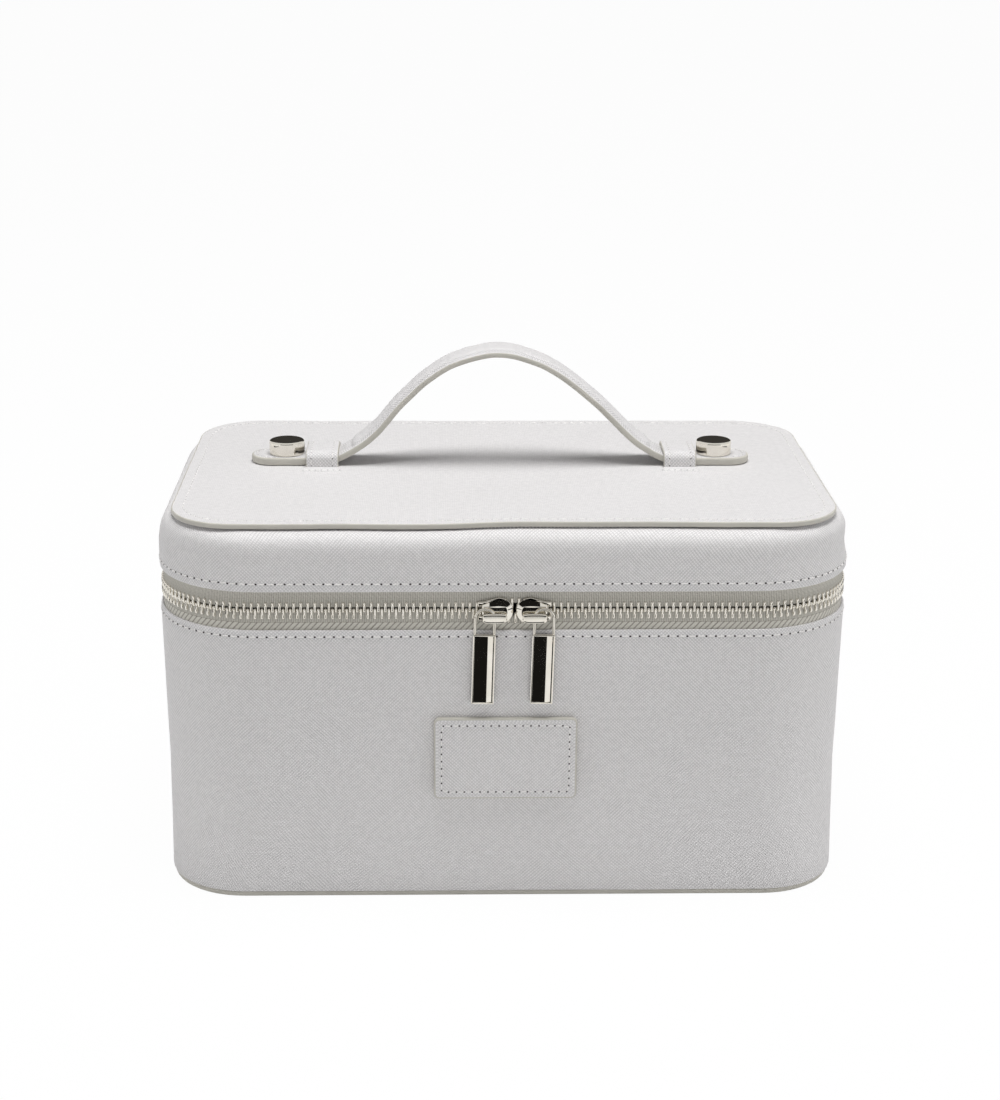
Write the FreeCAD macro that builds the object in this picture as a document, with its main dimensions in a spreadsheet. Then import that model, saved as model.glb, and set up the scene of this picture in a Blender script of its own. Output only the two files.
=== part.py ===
import FreeCAD, Part

# Makeup storage case: a leather-covered box whose zip runs all round the lid, with a strap handle on top.
# Millimetres. The case stands on z = 0 with the origin at the middle of its underside, +Z up and the
# front, where the two zip sliders meet, facing -Y.

import math
import os
import re

import Sketcher
from FreeCAD import Placement, Rotation, Vector

# --------------------------------------------------------------------------------------------------
# Driving sizes
# --------------------------------------------------------------------------------------------------

SIZES = {
    # the case
    "case_width": 250.0,        # outside, at the zip
    "case_depth": 158.0,        # outside, at the zip
    "corner_radius": 37.0,      # outside, at the zip
    "wall_lean": 0.8,           # degrees that the base walls draw in towards the bottom
    "base_height": 103.8,       # up to the base's edge
    "zip_opening": 14.0,        # between the edges of base and lid
    "lid_height": 20.9,         # from the lid's edge to the top panel
    "lid_edge_radius": 6.5,     # rounding between the lid's side and top, along which its bevel lies
    # the layers of a wall
    "skin_thickness": 2.0,      # leather on felt
    "board_thickness": 2.4,
    "lining_thickness": 0.8,
    # flat panels
    "bottom_thickness": 2.0,
    "bottom_inset": 0.8,        # from the leather's lower edge
    "panel_inset": 5.85,        # from the case's side to the top panel's edge
    "panel_radius": 24.0,
    "panel_thickness": 2.1,
    "paint_edge": 0.5,          # bevel of a painted edge
    "patch_width": 51.0,
    "patch_height": 31.0,
    "patch_thickness": 2.2,
    "patch_radius": 2.5,
    "patch_gap": 5.7,           # from the hanging pulls down to the patch
    # the zip
    "tape_thickness": 0.8,
    "tape_inset": 1.2,          # from the leather's surface to the tape's
    "tape_hidden": 8.0,         # tape sewn in behind the leather
    "tape_edge": 1.9,           # from the chain's middle line to the tape's edge
    "tooth_pitch": 2.46,
    "tooth_width": 1.1,
    "tooth_depth": 2.2,
    "tooth_overlap": 0.5,       # reach of a tooth beyond the chain's middle line
    "tooth_seat": 0.02,         # room between tape and teeth where the tape bends
    "zip_end": 78.0,            # half the distance between the zip's two ends, along the back
    "stop_length": 2.6,
    "zip_spread": 1.55,         # how far each row is parted where the sliders meet
    "zip_spread_reach": 10.0,   # distance from the meeting point at which the rows lock
    # sliders and pulls
    "meet_side": 2.9,           # the sliders meet this far right of the case's middle
    "slider_gap": 1.0,
    "slider_length": 12.3,
    "slider_half": 5.0,         # half the height of the slider's nose
    "slider_tail_half": 3.6,
    "slider_plate": 0.9,
    "slider_room": 0.1,         # play round the teeth
    "flange_thickness": 0.5,
    "post_radius": 1.7,         # the crown's post, on which the bail hangs
    "post_back": 9.9,           # from the slider's nose
    "post_below": 1.9,          # under the chain's middle line
    "crown_thickness": 1.0,
    "bail_wire": 1.1,
    "bail_width": 6.8,          # between the middles of the two legs
    "bail_drop": 6.2,           # from the post's middle to the plate
    "bail_play": 0.35,          # round the wire, under the crown
    "pull_width": 8.0,
    "pull_length": 26.0,
    "pull_thickness": 1.5,
    "pull_rim": 0.55,
    "pull_recess": 0.4,
    # the handle
    "handle_back": 11.0,        # the handle's middle lies this far behind the case's middle
    "strap_width": 16.0,
    "strap_thickness": 3.0,
    "tip_inset": 23.65,         # from the top panel's edge to the strap's tip
    "tip_to_stud": 13.5,        # to the stud's middle
    "keeper_to_stud": 0.95,     # gap between keeper and stud
    "keeper_length": 12.3,
    "strap_joint": 4.0,         # where arch and strap end meet, this far inside the keeper
    "arch_height": 42.0,        # the arch's rise over the strap ends
    "arch_run": 1.0,            # how far the arch's legs spread between crown and foot
    "foot_radius": 20.0,        # middle line, where the strap turns up
    "keeper_thickness": 1.8,
    "keeper_room": 0.3,         # beside the strap
    "keeper_headroom": 0.9,     # over the strap
    "keeper_flange": 2.6,
    "keeper_flange_thickness": 1.0,
    "stud_diameter": 13.5,
    "stud_height": 5.3,
    "stud_edge": 0.4,
    "screw_diameter": 3.0,
    "screw_head_diameter": 7.0,
    "screw_head_thickness": 0.8,
    "slide_gap": 0.1,           # under the sliding strap ends
}

doc = FreeCAD.newDocument("makeup_case")
sheet = doc.addObject("Spreadsheet::Sheet", "Sizes")
for row, (alias, value) in enumerate(SIZES.items(), start=1):
    sheet.set(f"A{row}", alias)
    sheet.set(f"B{row}", str(value))
    sheet.setAlias(f"B{row}", alias)
doc.recompute()


def size(alias):
    """The value of one cell of the sheet."""
    return float(sheet.get(alias))


def cells(expression):
    """An expression with each size's name turned into a reference to its cell."""
    def cell(found):
        return f"Sizes.{found[0]}" if found[0] in SIZES else found[0]

    return re.sub(r"[a-z_]+", cell, expression)


nodes = []


def node(label, thing):
    """Name a finished sub-part and list it for export."""
    thing.Label = label
    nodes.append(thing)
    return thing


# --------------------------------------------------------------------------------------------------
# Sketches
# --------------------------------------------------------------------------------------------------

def new_body(name):
    return doc.addObject("PartDesign::Body", name)


def new_sketch(body, name, plane, height="0"):
    """A sketch on one of the body's own origin planes, moved along the plane's normal."""
    sketch = body.newObject("Sketcher::SketchObject", name)
    origin_plane = [feature for feature in body.Origin.OriginFeatures if feature.Role == plane][0]
    sketch.AttachmentSupport = (origin_plane, "")
    sketch.MapMode = "FlatFace"
    sketch.setExpression("AttachmentOffset.Base.z", cells(height))
    return sketch


def add_rounded_rectangle(sketch, width, height, radius, prefix=""):
    """Four lines and four arcs about the sketch's origin, held by three named dimensions."""
    half_w = 50.0
    half_h = 40.0
    r = 10.0
    first = sketch.GeometryCount
    corners = [(half_w - r, r - half_h, -90), (half_w - r, half_h - r, 0),
               (r - half_w, half_h - r, 90), (r - half_w, r - half_h, 180)]
    for x, y, start in corners:
        circle = Part.Circle(Vector(x, y, 0), Vector(0, 0, 1), r)
        sketch.addGeometry(Part.ArcOfCircle(circle, math.radians(start), math.radians(start + 90)), False)
    ends = [((half_w, r - half_h), (half_w, half_h - r)), ((half_w - r, half_h), (r - half_w, half_h)),
            ((-half_w, half_h - r), (-half_w, r - half_h)), ((r - half_w, -half_h), (half_w - r, -half_h))]
    for (x0, y0), (x1, y1) in ends:
        sketch.addGeometry(Part.LineSegment(Vector(x0, y0, 0), Vector(x1, y1, 0)), False)
    for side in range(4):
        arc = first + side
        line = first + 4 + side
        following = first + (side + 1) % 4
        sketch.addConstraint(Sketcher.Constraint("Tangent", arc, 2, line, 1))
        sketch.addConstraint(Sketcher.Constraint("Tangent", line, 2, following, 1))
        straight = "Vertical" if side % 2 == 0 else "Horizontal"
        sketch.addConstraint(Sketcher.Constraint(straight, line))
    for side in range(1, 4):
        sketch.addConstraint(Sketcher.Constraint("Equal", first, first + side))
    sketch.addConstraint(Sketcher.Constraint("Symmetric", first, 3, first + 2, 3, -1, 1))
    dimensions = [("DistanceX", (first + 6, 1, first + 4, 1), 2 * half_w, "Width", width),
                  ("DistanceY", (first + 7, 1, first + 5, 1), 2 * half_h, "Height", height),
                  ("Radius", (first,), r, "Radius", radius)]
    for kind, where, value, name, expression in dimensions:
        index = sketch.addConstraint(Sketcher.Constraint(kind, *where, value))
        sketch.renameConstraint(index, prefix + name)
        sketch.setExpression(f"Constraints.{prefix}{name}", cells(expression))


def add_circle(sketch, x, y, diameter, prefix=""):
    index = sketch.addGeometry(Part.Circle(Vector(1, 1, 0), Vector(0, 0, 1), 2.0), False)
    for kind, where, value, name, expression in [
            ("DistanceX", (-1, 1, index, 3), 1.0, "Across", x),
            ("DistanceY", (-1, 1, index, 3), 1.0, "Along", y),
            ("Diameter", (index,), 4.0, "Diameter", diameter)]:
        constraint = sketch.addConstraint(Sketcher.Constraint(kind, *where, value))
        sketch.renameConstraint(constraint, prefix + name)
        sketch.setExpression(f"Constraints.{prefix}{name}", cells(expression))


def pad(body, sketch, length, name, lean=None):
    """A pad upwards, or downwards with walls that draw in by the lean."""
    feature = body.newObject("PartDesign::Pad", name)
    feature.Profile = sketch
    feature.setExpression("Length", cells(length))
    if lean:
        feature.Reversed = True
        feature.setExpression("TaperAngle", cells(lean))
    doc.recompute()
    return feature


def pocket(body, sketch, depth, name, reversed_way=False):
    feature = body.newObject("PartDesign::Pocket", name)
    feature.Profile = sketch
    feature.Reversed = reversed_way
    feature.setExpression("Length", cells(depth))
    doc.recompute()
    return feature


def edges_at(shape, height):
    """Names of the edges that lie flat at one height."""
    found = []
    for number, edge in enumerate(shape.Edges, start=1):
        box = edge.BoundBox
        if abs(box.ZMin - height) < 1e-4 and abs(box.ZMax - height) < 1e-4:
            found.append(f"Edge{number}")
    return found


def bevel_edges(body, base, names, width, name):
    feature = body.newObject("PartDesign::Chamfer", name)
    feature.Base = (base, names)
    feature.setExpression("Size", cells(width))
    doc.recompute()
    return feature


def cut(name, base, tool):
    feature = doc.addObject("Part::Cut", name)
    feature.Base = base
    feature.Tool = tool
    feature.Refine = False
    doc.recompute()
    return feature


def solid(name, shape, placement=None):
    feature = doc.addObject("Part::Feature", name)
    feature.Shape = shape
    if placement:
        feature.Placement = placement
    return feature


# --------------------------------------------------------------------------------------------------
# Heights and insets that several pieces share
# --------------------------------------------------------------------------------------------------

LID_EDGE = "(base_height + zip_opening)"
PANEL_SEAT = "(base_height + zip_opening + lid_height)"
DRAW_IN = "((base_height - bottom_thickness) * tan(wall_lean * 1 deg))"
BOARD_INSET = "skin_thickness"
LINING_INSET = "(skin_thickness + board_thickness)"
HOLLOW_INSET = "(skin_thickness + board_thickness + lining_thickness)"

chain_height = size("base_height") + size("zip_opening") / 2
lid_edge = size("base_height") + size("zip_opening")
panel_seat = lid_edge + size("lid_height")
panel_top = panel_seat + size("panel_thickness")
tape_middle = size("tape_inset") + size("tape_thickness") / 2
chain_front = size("case_depth") / 2 - tape_middle      # the chain's plane lies at y = -chain_front


# --------------------------------------------------------------------------------------------------
# The base: a leather skin with leaning walls round an upright box of lined board
# --------------------------------------------------------------------------------------------------

def lower_outside():
    """The base's outside, from its edge down to the bottom panel, drawing in towards the bottom."""
    body = new_body("lower_outside")
    sketch = new_sketch(body, "lower_outside_outline", "XY_Plane", "base_height")
    add_rounded_rectangle(sketch, "case_width", "case_depth", "corner_radius")
    pad(body, sketch, "base_height - bottom_thickness", "lower_outside_pad", lean="-1 * wall_lean * 1 deg")
    return body


def lower_form(name, inset, floor):
    """An upright form inside the base: inset is measured from the outside at the bottom."""
    inset = f"({inset} + {DRAW_IN})"
    body = new_body(name)
    sketch = new_sketch(body, name + "_outline", "XY_Plane", floor)
    add_rounded_rectangle(sketch, f"case_width - 2 * {inset}", f"case_depth - 2 * {inset}",
                          f"corner_radius - {inset}")
    pad(body, sketch, f"base_height - {floor}", name + "_pad")
    return body


lower_in_skin = lower_form("lower_in_skin", BOARD_INSET, "bottom_thickness")
lower_in_board = lower_form("lower_in_board", LINING_INSET, "(bottom_thickness + board_thickness)")
lower_hollow = lower_form("lower_hollow", HOLLOW_INSET,
                          "(bottom_thickness + board_thickness + lining_thickness)")


def tape_ring(name, low, length):
    """A ring of zip tape all round the case."""
    body = new_body(name)
    sketch = new_sketch(body, name + "_outline", "XY_Plane", low)
    for prefix, inset in (("Outer", "tape_inset"), ("Inner", "(tape_inset + tape_thickness)")):
        add_rounded_rectangle(sketch, f"case_width - 2 * {inset}", f"case_depth - 2 * {inset}",
                              f"corner_radius - {inset}", prefix)
    pad(body, sketch, length, name + "_pad")
    return body


lower_rebate = tape_ring("lower_rebate", "base_height - tape_hidden", "tape_hidden")
node("outer_wall", cut("outer_wall", cut("lower_skin", lower_outside(), lower_in_skin), lower_rebate))
node("base_board", cut("base_board", lower_in_skin, lower_in_board))
node("base_lining", cut("base_lining", lower_in_board, lower_hollow))


def bottom_panel():
    """The flat leather panel that the case stands on, with a painted edge."""
    drawn_in = f"(bottom_inset + {DRAW_IN})"
    body = new_body("bottom_panel_body")
    sketch = new_sketch(body, "bottom_outline", "XY_Plane")
    add_rounded_rectangle(sketch, f"case_width - 2 * {drawn_in}", f"case_depth - 2 * {drawn_in}",
                          f"corner_radius - {drawn_in}")
    slab = pad(body, sketch, "bottom_thickness", "bottom_pad")
    bevel_edges(body, slab, edges_at(slab.Shape, 0), "paint_edge", "bottom_paint")
    return body


node("bottom_panel", bottom_panel())


def front_patch():
    """The stitched leather patch on the front wall, leaning with it, under the hanging pulls."""
    body = new_body("front_patch_body")
    sketch = new_sketch(body, "patch_outline", "XZ_Plane")
    add_rounded_rectangle(sketch, "patch_width", "patch_height", "patch_radius")
    slab = pad(body, sketch, "patch_thickness", "patch_pad")
    front = []
    for number, edge in enumerate(slab.Shape.Edges, start=1):
        if abs(edge.BoundBox.YMax + size("patch_thickness")) < 1e-4:
            front.append(f"Edge{number}")
    bevel_edges(body, slab, front, "paint_edge", "patch_paint")
    hanging = size("post_below") + size("bail_drop") + size("pull_length")
    middle = chain_height - hanging - size("patch_gap") - size("patch_height") / 2
    drawn_in = (size("base_height") - middle) * math.tan(math.radians(size("wall_lean")))
    lean = Rotation(Vector(1, 0, 0), size("wall_lean"))
    body.Placement = Placement(Vector(0, drawn_in - size("case_depth") / 2, middle), lean)
    return body


node("front_patch", front_patch())


# --------------------------------------------------------------------------------------------------
# The lid: nested caps with a bevelled upper edge
# --------------------------------------------------------------------------------------------------

def lid_form(name, inset):
    """The lid's outline drawn in by inset at the sides and the top; its bevel touches the rounding."""
    body = new_body(name)
    sketch = new_sketch(body, name + "_outline", "XY_Plane", LID_EDGE)
    add_rounded_rectangle(sketch, f"case_width - 2 * {inset}", f"case_depth - 2 * {inset}",
                          f"corner_radius - {inset}")
    block = pad(body, sketch, f"lid_height - {inset}", name + "_pad")
    top = edges_at(block.Shape, block.Shape.BoundBox.ZMax)
    bevel_edges(body, block, top, f"(lid_edge_radius - {inset}) * (2 - sqrt(2))", name + "_bevel")
    return body


lid_outside = lid_form("lid_outside", "0")
lid_in_skin = lid_form("lid_in_skin", BOARD_INSET)
lid_in_board = lid_form("lid_in_board", LINING_INSET)
lid_hollow = lid_form("lid_hollow", HOLLOW_INSET)
lid_rebate = tape_ring("lid_rebate", LID_EDGE, "tape_hidden")
node("lid_cover", cut("lid_cover", cut("lid_skin", lid_outside, lid_in_skin), lid_rebate))
node("lid_board", cut("lid_board", lid_in_skin, lid_in_board))
node("lid_lining", cut("lid_lining", lid_in_board, lid_hollow))


def top_panel():
    """The flat leather panel on the lid, with a painted edge."""
    body = new_body("top_panel_body")
    sketch = new_sketch(body, "top_outline", "XY_Plane", PANEL_SEAT)
    add_rounded_rectangle(sketch, "case_width - 2 * panel_inset", "case_depth - 2 * panel_inset",
                          "panel_radius")
    slab = pad(body, sketch, "panel_thickness", "top_pad")
    bevel_edges(body, slab, edges_at(slab.Shape, panel_top), "paint_edge", "top_paint")
    return body


node("top_panel", top_panel())


# --------------------------------------------------------------------------------------------------
# The zip
# --------------------------------------------------------------------------------------------------

spread_radius = (size("zip_spread_reach") ** 2 + size("zip_spread") ** 2) / (2 * size("zip_spread"))


def row_dip(x, y):
    """How far a row is parted from the chain's middle line at one place of the zip, and its slope there."""
    along = x - size("meet_side")
    if y > 0 or abs(along) >= size("zip_spread_reach"):
        return 0.0, 0.0
    rise = math.sqrt(spread_radius ** 2 - along ** 2)
    return size("zip_spread") - spread_radius + rise, -math.degrees(math.atan2(along, rise))


def zip_tape(name, side):
    """One tape: side is -1 for the base's and +1 for the lid's. Its edge gives way round the sliders."""
    low = "base_height - tape_hidden" if side < 0 else "base_height + zip_opening / 2 + tape_edge"
    ring = tape_ring(name + "_ring", low, "tape_hidden + zip_opening / 2 - tape_edge")
    from_middle = size("tape_edge") + size("zip_spread") - spread_radius
    depth = size("case_depth") / 2
    dip = Part.makeCylinder(spread_radius + size("tooth_seat"), depth,
                            Vector(size("meet_side"), -depth, chain_height + side * from_middle),
                            Vector(0, 1, 0))
    end = size("zip_end") - size("stop_length")
    height = 2 * size("tape_hidden") + size("zip_opening")
    gap = Part.makeBox(2 * end, depth, height, Vector(-end, 0, chain_height - height / 2))
    dipped = cut(name + "_dip", ring, solid(name + "_dip_tool", dip))
    return cut(name, dipped, solid(name + "_gap_tool", gap))


node("zip_tape_lower", zip_tape("zip_tape_lower", -1))
node("zip_tape_upper", zip_tape("zip_tape_upper", 1))


def zip_path_length():
    """Length of the chain from one end on the back, round both sides, to the other end."""
    across = size("case_width") - 2 * size("corner_radius")
    along = size("case_depth") - 2 * size("corner_radius")
    bend = math.pi * (size("corner_radius") - tape_middle) / 2
    return 2 * across + 2 * along + 4 * bend - 2 * size("zip_end")


def zip_point(distance):
    """The place (x, y) and heading of the chain, measured along it from its left end on the back."""
    half_across = size("case_width") / 2 - size("corner_radius")
    half_along = size("case_depth") / 2 - size("corner_radius")
    radius = size("corner_radius") - tape_middle
    bend = math.pi * radius / 2
    runs = [("line", half_across - size("zip_end"), (-size("zip_end"), half_along + radius), 180),
            ("bend", bend, (-half_across, half_along), 180),
            ("line", 2 * half_along, (-half_across - radius, half_along), 270),
            ("bend", bend, (-half_across, -half_along), 270),
            ("line", 2 * half_across, (-half_across, -half_along - radius), 0),
            ("bend", bend, (half_across, -half_along), 0),
            ("line", 2 * half_along, (half_across + radius, -half_along), 90),
            ("bend", bend, (half_across, half_along), 90),
            ("line", half_across - size("zip_end"), (half_across, half_along + radius), 180)]
    for kind, length, (x, y), heading in runs:
        if distance <= length:
            break
        distance -= length
    if kind == "line":
        angle = math.radians(heading)
        return x + distance * math.cos(angle), y + distance * math.sin(angle), heading
    heading += math.degrees(distance / radius)
    angle = math.radians(heading - 90)
    return x + radius * math.cos(angle), y + radius * math.sin(angle), heading


def tooth(side):
    """One tooth at the origin: a block from the tape's edge to just past the chain's middle line."""
    low = -size("tooth_overlap") if side > 0 else -size("tape_edge")
    corner = Vector(-size("tooth_width") / 2, -size("tooth_depth") / 2, low)
    return Part.makeBox(size("tooth_width"), size("tooth_depth"), size("tape_edge") + size("tooth_overlap"),
                        corner)


def zip_teeth(side):
    """One row of teeth; the two rows are half a pitch apart and mesh."""
    model = tooth(side)
    pitch = size("tooth_pitch")
    length = zip_path_length()
    start = pitch / 2 if side < 0 else pitch
    teeth = []
    for number in range(int((length - start - pitch / 2) / pitch) + 1):
        x, y, heading = zip_point(start + number * pitch)
        dip, slope = row_dip(x, y)
        turn = Rotation(Vector(0, 0, 1), heading) * Rotation(Vector(0, 1, 0), -side * slope)
        # a tooth turns about the middle of the tape's edge, which it sits on
        seat = Vector(0, 0, side * size("tape_edge"))
        place = Placement(Vector(x, y, chain_height + side * dip) + seat - turn.multVec(seat), turn)
        one = model.copy()
        one.Placement = place
        teeth.append(one)
    return Part.makeCompound(teeth)


node("zip_teeth_lower", solid("zip_teeth_lower", zip_teeth(-1)))
node("zip_teeth_upper", solid("zip_teeth_upper", zip_teeth(1)))


def zip_stops(side):
    """A metal stop on the edge of the tape at each end of a row."""
    low = size("tape_edge") - size("tooth_pitch") / 2 if side > 0 else -size("tape_edge")
    high = low + size("tooth_pitch") / 2
    back = size("case_depth") / 2 - tape_middle
    stops = []
    for end in (-1, 1):
        middle = end * (size("zip_end") - size("stop_length") / 2)
        stops.append(Part.makeBox(size("stop_length"), size("tooth_depth"), high - low,
                                  Vector(middle - size("stop_length") / 2, back - size("tooth_depth") / 2,
                                         chain_height + low)))
    return Part.makeCompound(stops)


node("zip_stops_lower", solid("zip_stops_lower", zip_stops(-1)))
node("zip_stops_upper", solid("zip_stops_upper", zip_stops(1)))


def back_hinge_strip():
    """The strip that bends when the lid opens, let into both walls where the tape leaves room."""
    half = size("zip_end") - size("stop_length") - size("slider_room")
    back = size("case_depth") / 2
    bridge = Part.makeBox(2 * half, size("skin_thickness"), size("zip_opening"),
                          Vector(-half, back - size("skin_thickness"), size("base_height")))
    tongue = Part.makeBox(2 * half, size("tape_thickness"), size("zip_opening") + 2 * size("tape_hidden"),
                          Vector(-half, back - size("tape_inset") - size("tape_thickness"),
                                 size("base_height") - size("tape_hidden")))
    return bridge.fuse(tongue).removeSplitter()


node("back_hinge_strip", solid("back_hinge_strip", back_hinge_strip()))


# --------------------------------------------------------------------------------------------------
# Sliders and pulls, modelled for the right-hand side and mirrored
# --------------------------------------------------------------------------------------------------

nose = size("meet_side") + size("slider_gap") / 2
post_x = size("post_back")
plate_inner = size("tooth_depth") / 2 + size("slider_room")
plate_outer = plate_inner + size("slider_plate")
crown_under = plate_outer + size("bail_wire") + 2 * size("bail_play")
crown_outer = crown_under + size("crown_thickness")
bail_plane = plate_outer + size("bail_play") + size("bail_wire") / 2


def slider_outline(grow=0.0):
    """The slider's outline seen from the front: a round nose that draws in to a narrow tail."""
    radius = size("slider_half") + grow
    middle = size("slider_half")
    tail = size("slider_length")
    tail_half = size("slider_tail_half") + grow
    reach = math.hypot(tail - middle, tail_half)
    turn = math.atan2(tail_half, tail - middle) + math.acos(min(1.0, radius / reach))
    touch = Vector(middle + radius * math.cos(turn), 0, radius * math.sin(turn))
    low = Vector(touch.x, 0, -touch.z)
    edges = [Part.Arc(low, Vector(middle - radius, 0, 0), touch).toShape(),
             Part.LineSegment(touch, Vector(tail, 0, tail_half)).toShape(),
             Part.LineSegment(Vector(tail, 0, tail_half), Vector(tail, 0, -tail_half)).toShape(),
             Part.LineSegment(Vector(tail, 0, -tail_half), low).toShape()]
    return Part.Face(Part.Wire(edges))


def slider():
    """Two plates joined by the wedge at the nose, with flanges that hold the teeth, and the crown."""
    outline = slider_outline()
    thick = size("slider_plate")
    front_plate = outline.extrude(Vector(0, thick, 0))
    front_plate.translate(Vector(0, -plate_outer, 0))
    back_plate = outline.extrude(Vector(0, thick, 0))
    back_plate.translate(Vector(0, plate_inner, 0))
    # flanges: the outline's rim, left open at the nose and the tail and slotted for the tapes
    rim = outline.extrude(Vector(0, 2 * plate_inner, 0))
    rim.translate(Vector(0, -plate_inner, 0))
    wide = size("slider_half") - size("flange_thickness")
    narrow = size("slider_tail_half") - size("flange_thickness")
    channel_points = [(-1, wide), (size("slider_half"), wide), (size("slider_length") + 1, narrow),
                      (size("slider_length") + 1, -narrow), (size("slider_half"), -wide), (-1, -wide)]
    channel_wire = Part.makePolygon([Vector(x, -plate_inner, z) for x, z in channel_points]
                                    + [Vector(-1, -plate_inner, wide)])
    channel = Part.Face(channel_wire).extrude(Vector(0, 2 * plate_inner, 0))
    slot_half = size("tape_thickness") / 2 + size("slider_room")
    slot = Part.makeBox(2 * size("slider_length"), 2 * slot_half, 4 * size("slider_half"),
                        Vector(-size("slider_length") / 2, -slot_half, -2 * size("slider_half")))
    flanges = rim.cut(channel).cut(slot)
    # the wedge that parts the rows
    wedge_half = size("zip_spread") - size("tooth_overlap") - 1.5 * size("slider_room")
    wedge_start = size("slider_room") + size("slider_gap") / 2
    wedge_points = [Vector(wedge_start, -plate_inner, wedge_half),
                    Vector(wedge_start, -plate_inner, -wedge_half),
                    Vector(size("slider_half") - size("slider_gap") / 2, -plate_inner, 0)]
    wedge_face = Part.Face(Part.makePolygon(wedge_points + wedge_points[:1]))
    wedge = wedge_face.extrude(Vector(0, 2 * plate_inner, 0))
    return front_plate.multiFuse([back_plate, flanges, wedge, crown()]).removeSplitter()


def crown():
    """The bridge on the front plate: a round post near the tail, a foot near the nose, a bar across."""
    below = -size("post_below")
    post = Part.makeCylinder(size("post_radius"), crown_outer - plate_outer,
                             Vector(post_x, -crown_outer, below), Vector(0, 1, 0))
    foot_x = 2 * size("post_radius")
    foot = Part.makeCylinder(size("post_radius"), crown_outer - plate_outer,
                             Vector(foot_x, -crown_outer, below), Vector(0, 1, 0))
    bar = Part.makeBox(post_x - foot_x, size("crown_thickness"), 2 * size("post_radius"),
                       Vector(foot_x, -crown_outer, below - size("post_radius")))
    return post.multiFuse([foot, bar]).removeSplitter()


def bail():
    """The loop: its arc rests on the crown's post, its legs go down to the plate."""
    wire = size("bail_wire") / 2
    half = size("bail_width") / 2
    arc_middle = size("post_radius") + size("slider_room") + wire - half
    foot = -size("bail_drop")

    def arch_line(reach):
        return [Part.LineSegment(Vector(-reach, -wire, foot), Vector(-reach, -wire, arc_middle)).toShape(),
                Part.Arc(Vector(-reach, -wire, arc_middle), Vector(0, -wire, arc_middle + reach),
                         Vector(reach, -wire, arc_middle)).toShape(),
                Part.LineSegment(Vector(reach, -wire, arc_middle), Vector(reach, -wire, foot)).toShape()]

    def end(side):
        return Part.LineSegment(Vector(side * (half - wire), -wire, foot),
                                Vector(side * (half + wire), -wire, foot)).toShape()

    edges = arch_line(half + wire) + [end(1)] + arch_line(half - wire) + [end(-1)]
    outline = Part.Wire(Part.__sortEdges__(edges))
    return Part.Face(outline).extrude(Vector(0, 2 * wire, 0))


def pull_plate(name):
    """The flat pull: a plain plate with a raised rim round its recessed face."""
    body = new_body(name)
    outline = new_sketch(body, name + "_outline", "XZ_Plane")
    add_rounded_rectangle(outline, "pull_width", "pull_length", "pull_rim")
    pad(body, outline, "pull_thickness", name + "_pad")
    recess = new_sketch(body, name + "_recess_outline", "XZ_Plane", "pull_thickness")
    add_rounded_rectangle(recess, "pull_width - 2 * pull_rim", "pull_length - 2 * pull_rim", "pull_rim / 2")
    pocket(body, recess, "pull_recess", name + "_recess")
    return body


def mirrored(shape):
    return shape.mirror(Vector(0, 0, 0), Vector(1, 0, 0))


slider_shape = slider()
bail_shape = bail()
post_height = chain_height - size("post_below")
for word, way in (("left", -1), ("right", 1)):
    nose_x = size("meet_side") + way * size("slider_gap") / 2
    shape = slider_shape if way > 0 else mirrored(slider_shape)
    place = Placement(Vector(nose_x, -chain_front, chain_height), Rotation())
    node(f"slider_{word}", solid(f"slider_{word}", shape, place))
    hinge = Vector(nose_x + way * post_x, -chain_front - bail_plane, post_height)
    node(f"pull_bail_{word}", solid(f"pull_bail_{word}", bail_shape, Placement(hinge, Rotation())))
    plate = pull_plate(f"pull_plate_{word}_body")
    plate.Placement = Placement(hinge + Vector(0, size("pull_thickness") / 2,
                                               -size("bail_drop") - size("pull_length") / 2), Rotation())
    node(f"pull_plate_{word}", plate)


# --------------------------------------------------------------------------------------------------
# The handle
# --------------------------------------------------------------------------------------------------

STRAP_MIDDLE = "(base_height + zip_opening + lid_height + panel_thickness + slide_gap + strap_thickness / 2)"
STUD_MIDDLE = "(case_width / 2 - panel_inset - tip_inset - tip_to_stud)"
STRAP_JOIN = f"({STUD_MIDDLE} - stud_diameter / 2 - keeper_to_stud - keeper_length + strap_joint)"
ARCH_RADIUS = f"({STRAP_JOIN} - foot_radius - arch_run)"

strap_tip = size("case_width") / 2 - size("panel_inset") - size("tip_inset")
stud_middle = strap_tip - size("tip_to_stud")
keeper_inner = stud_middle - size("stud_diameter") / 2 - size("keeper_to_stud") - size("keeper_length")
strap_join = keeper_inner + size("strap_joint")
arch_radius = strap_join - size("foot_radius") - size("arch_run")
strap_low = panel_top + size("slide_gap")
strap_middle = strap_low + size("strap_thickness") / 2


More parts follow.
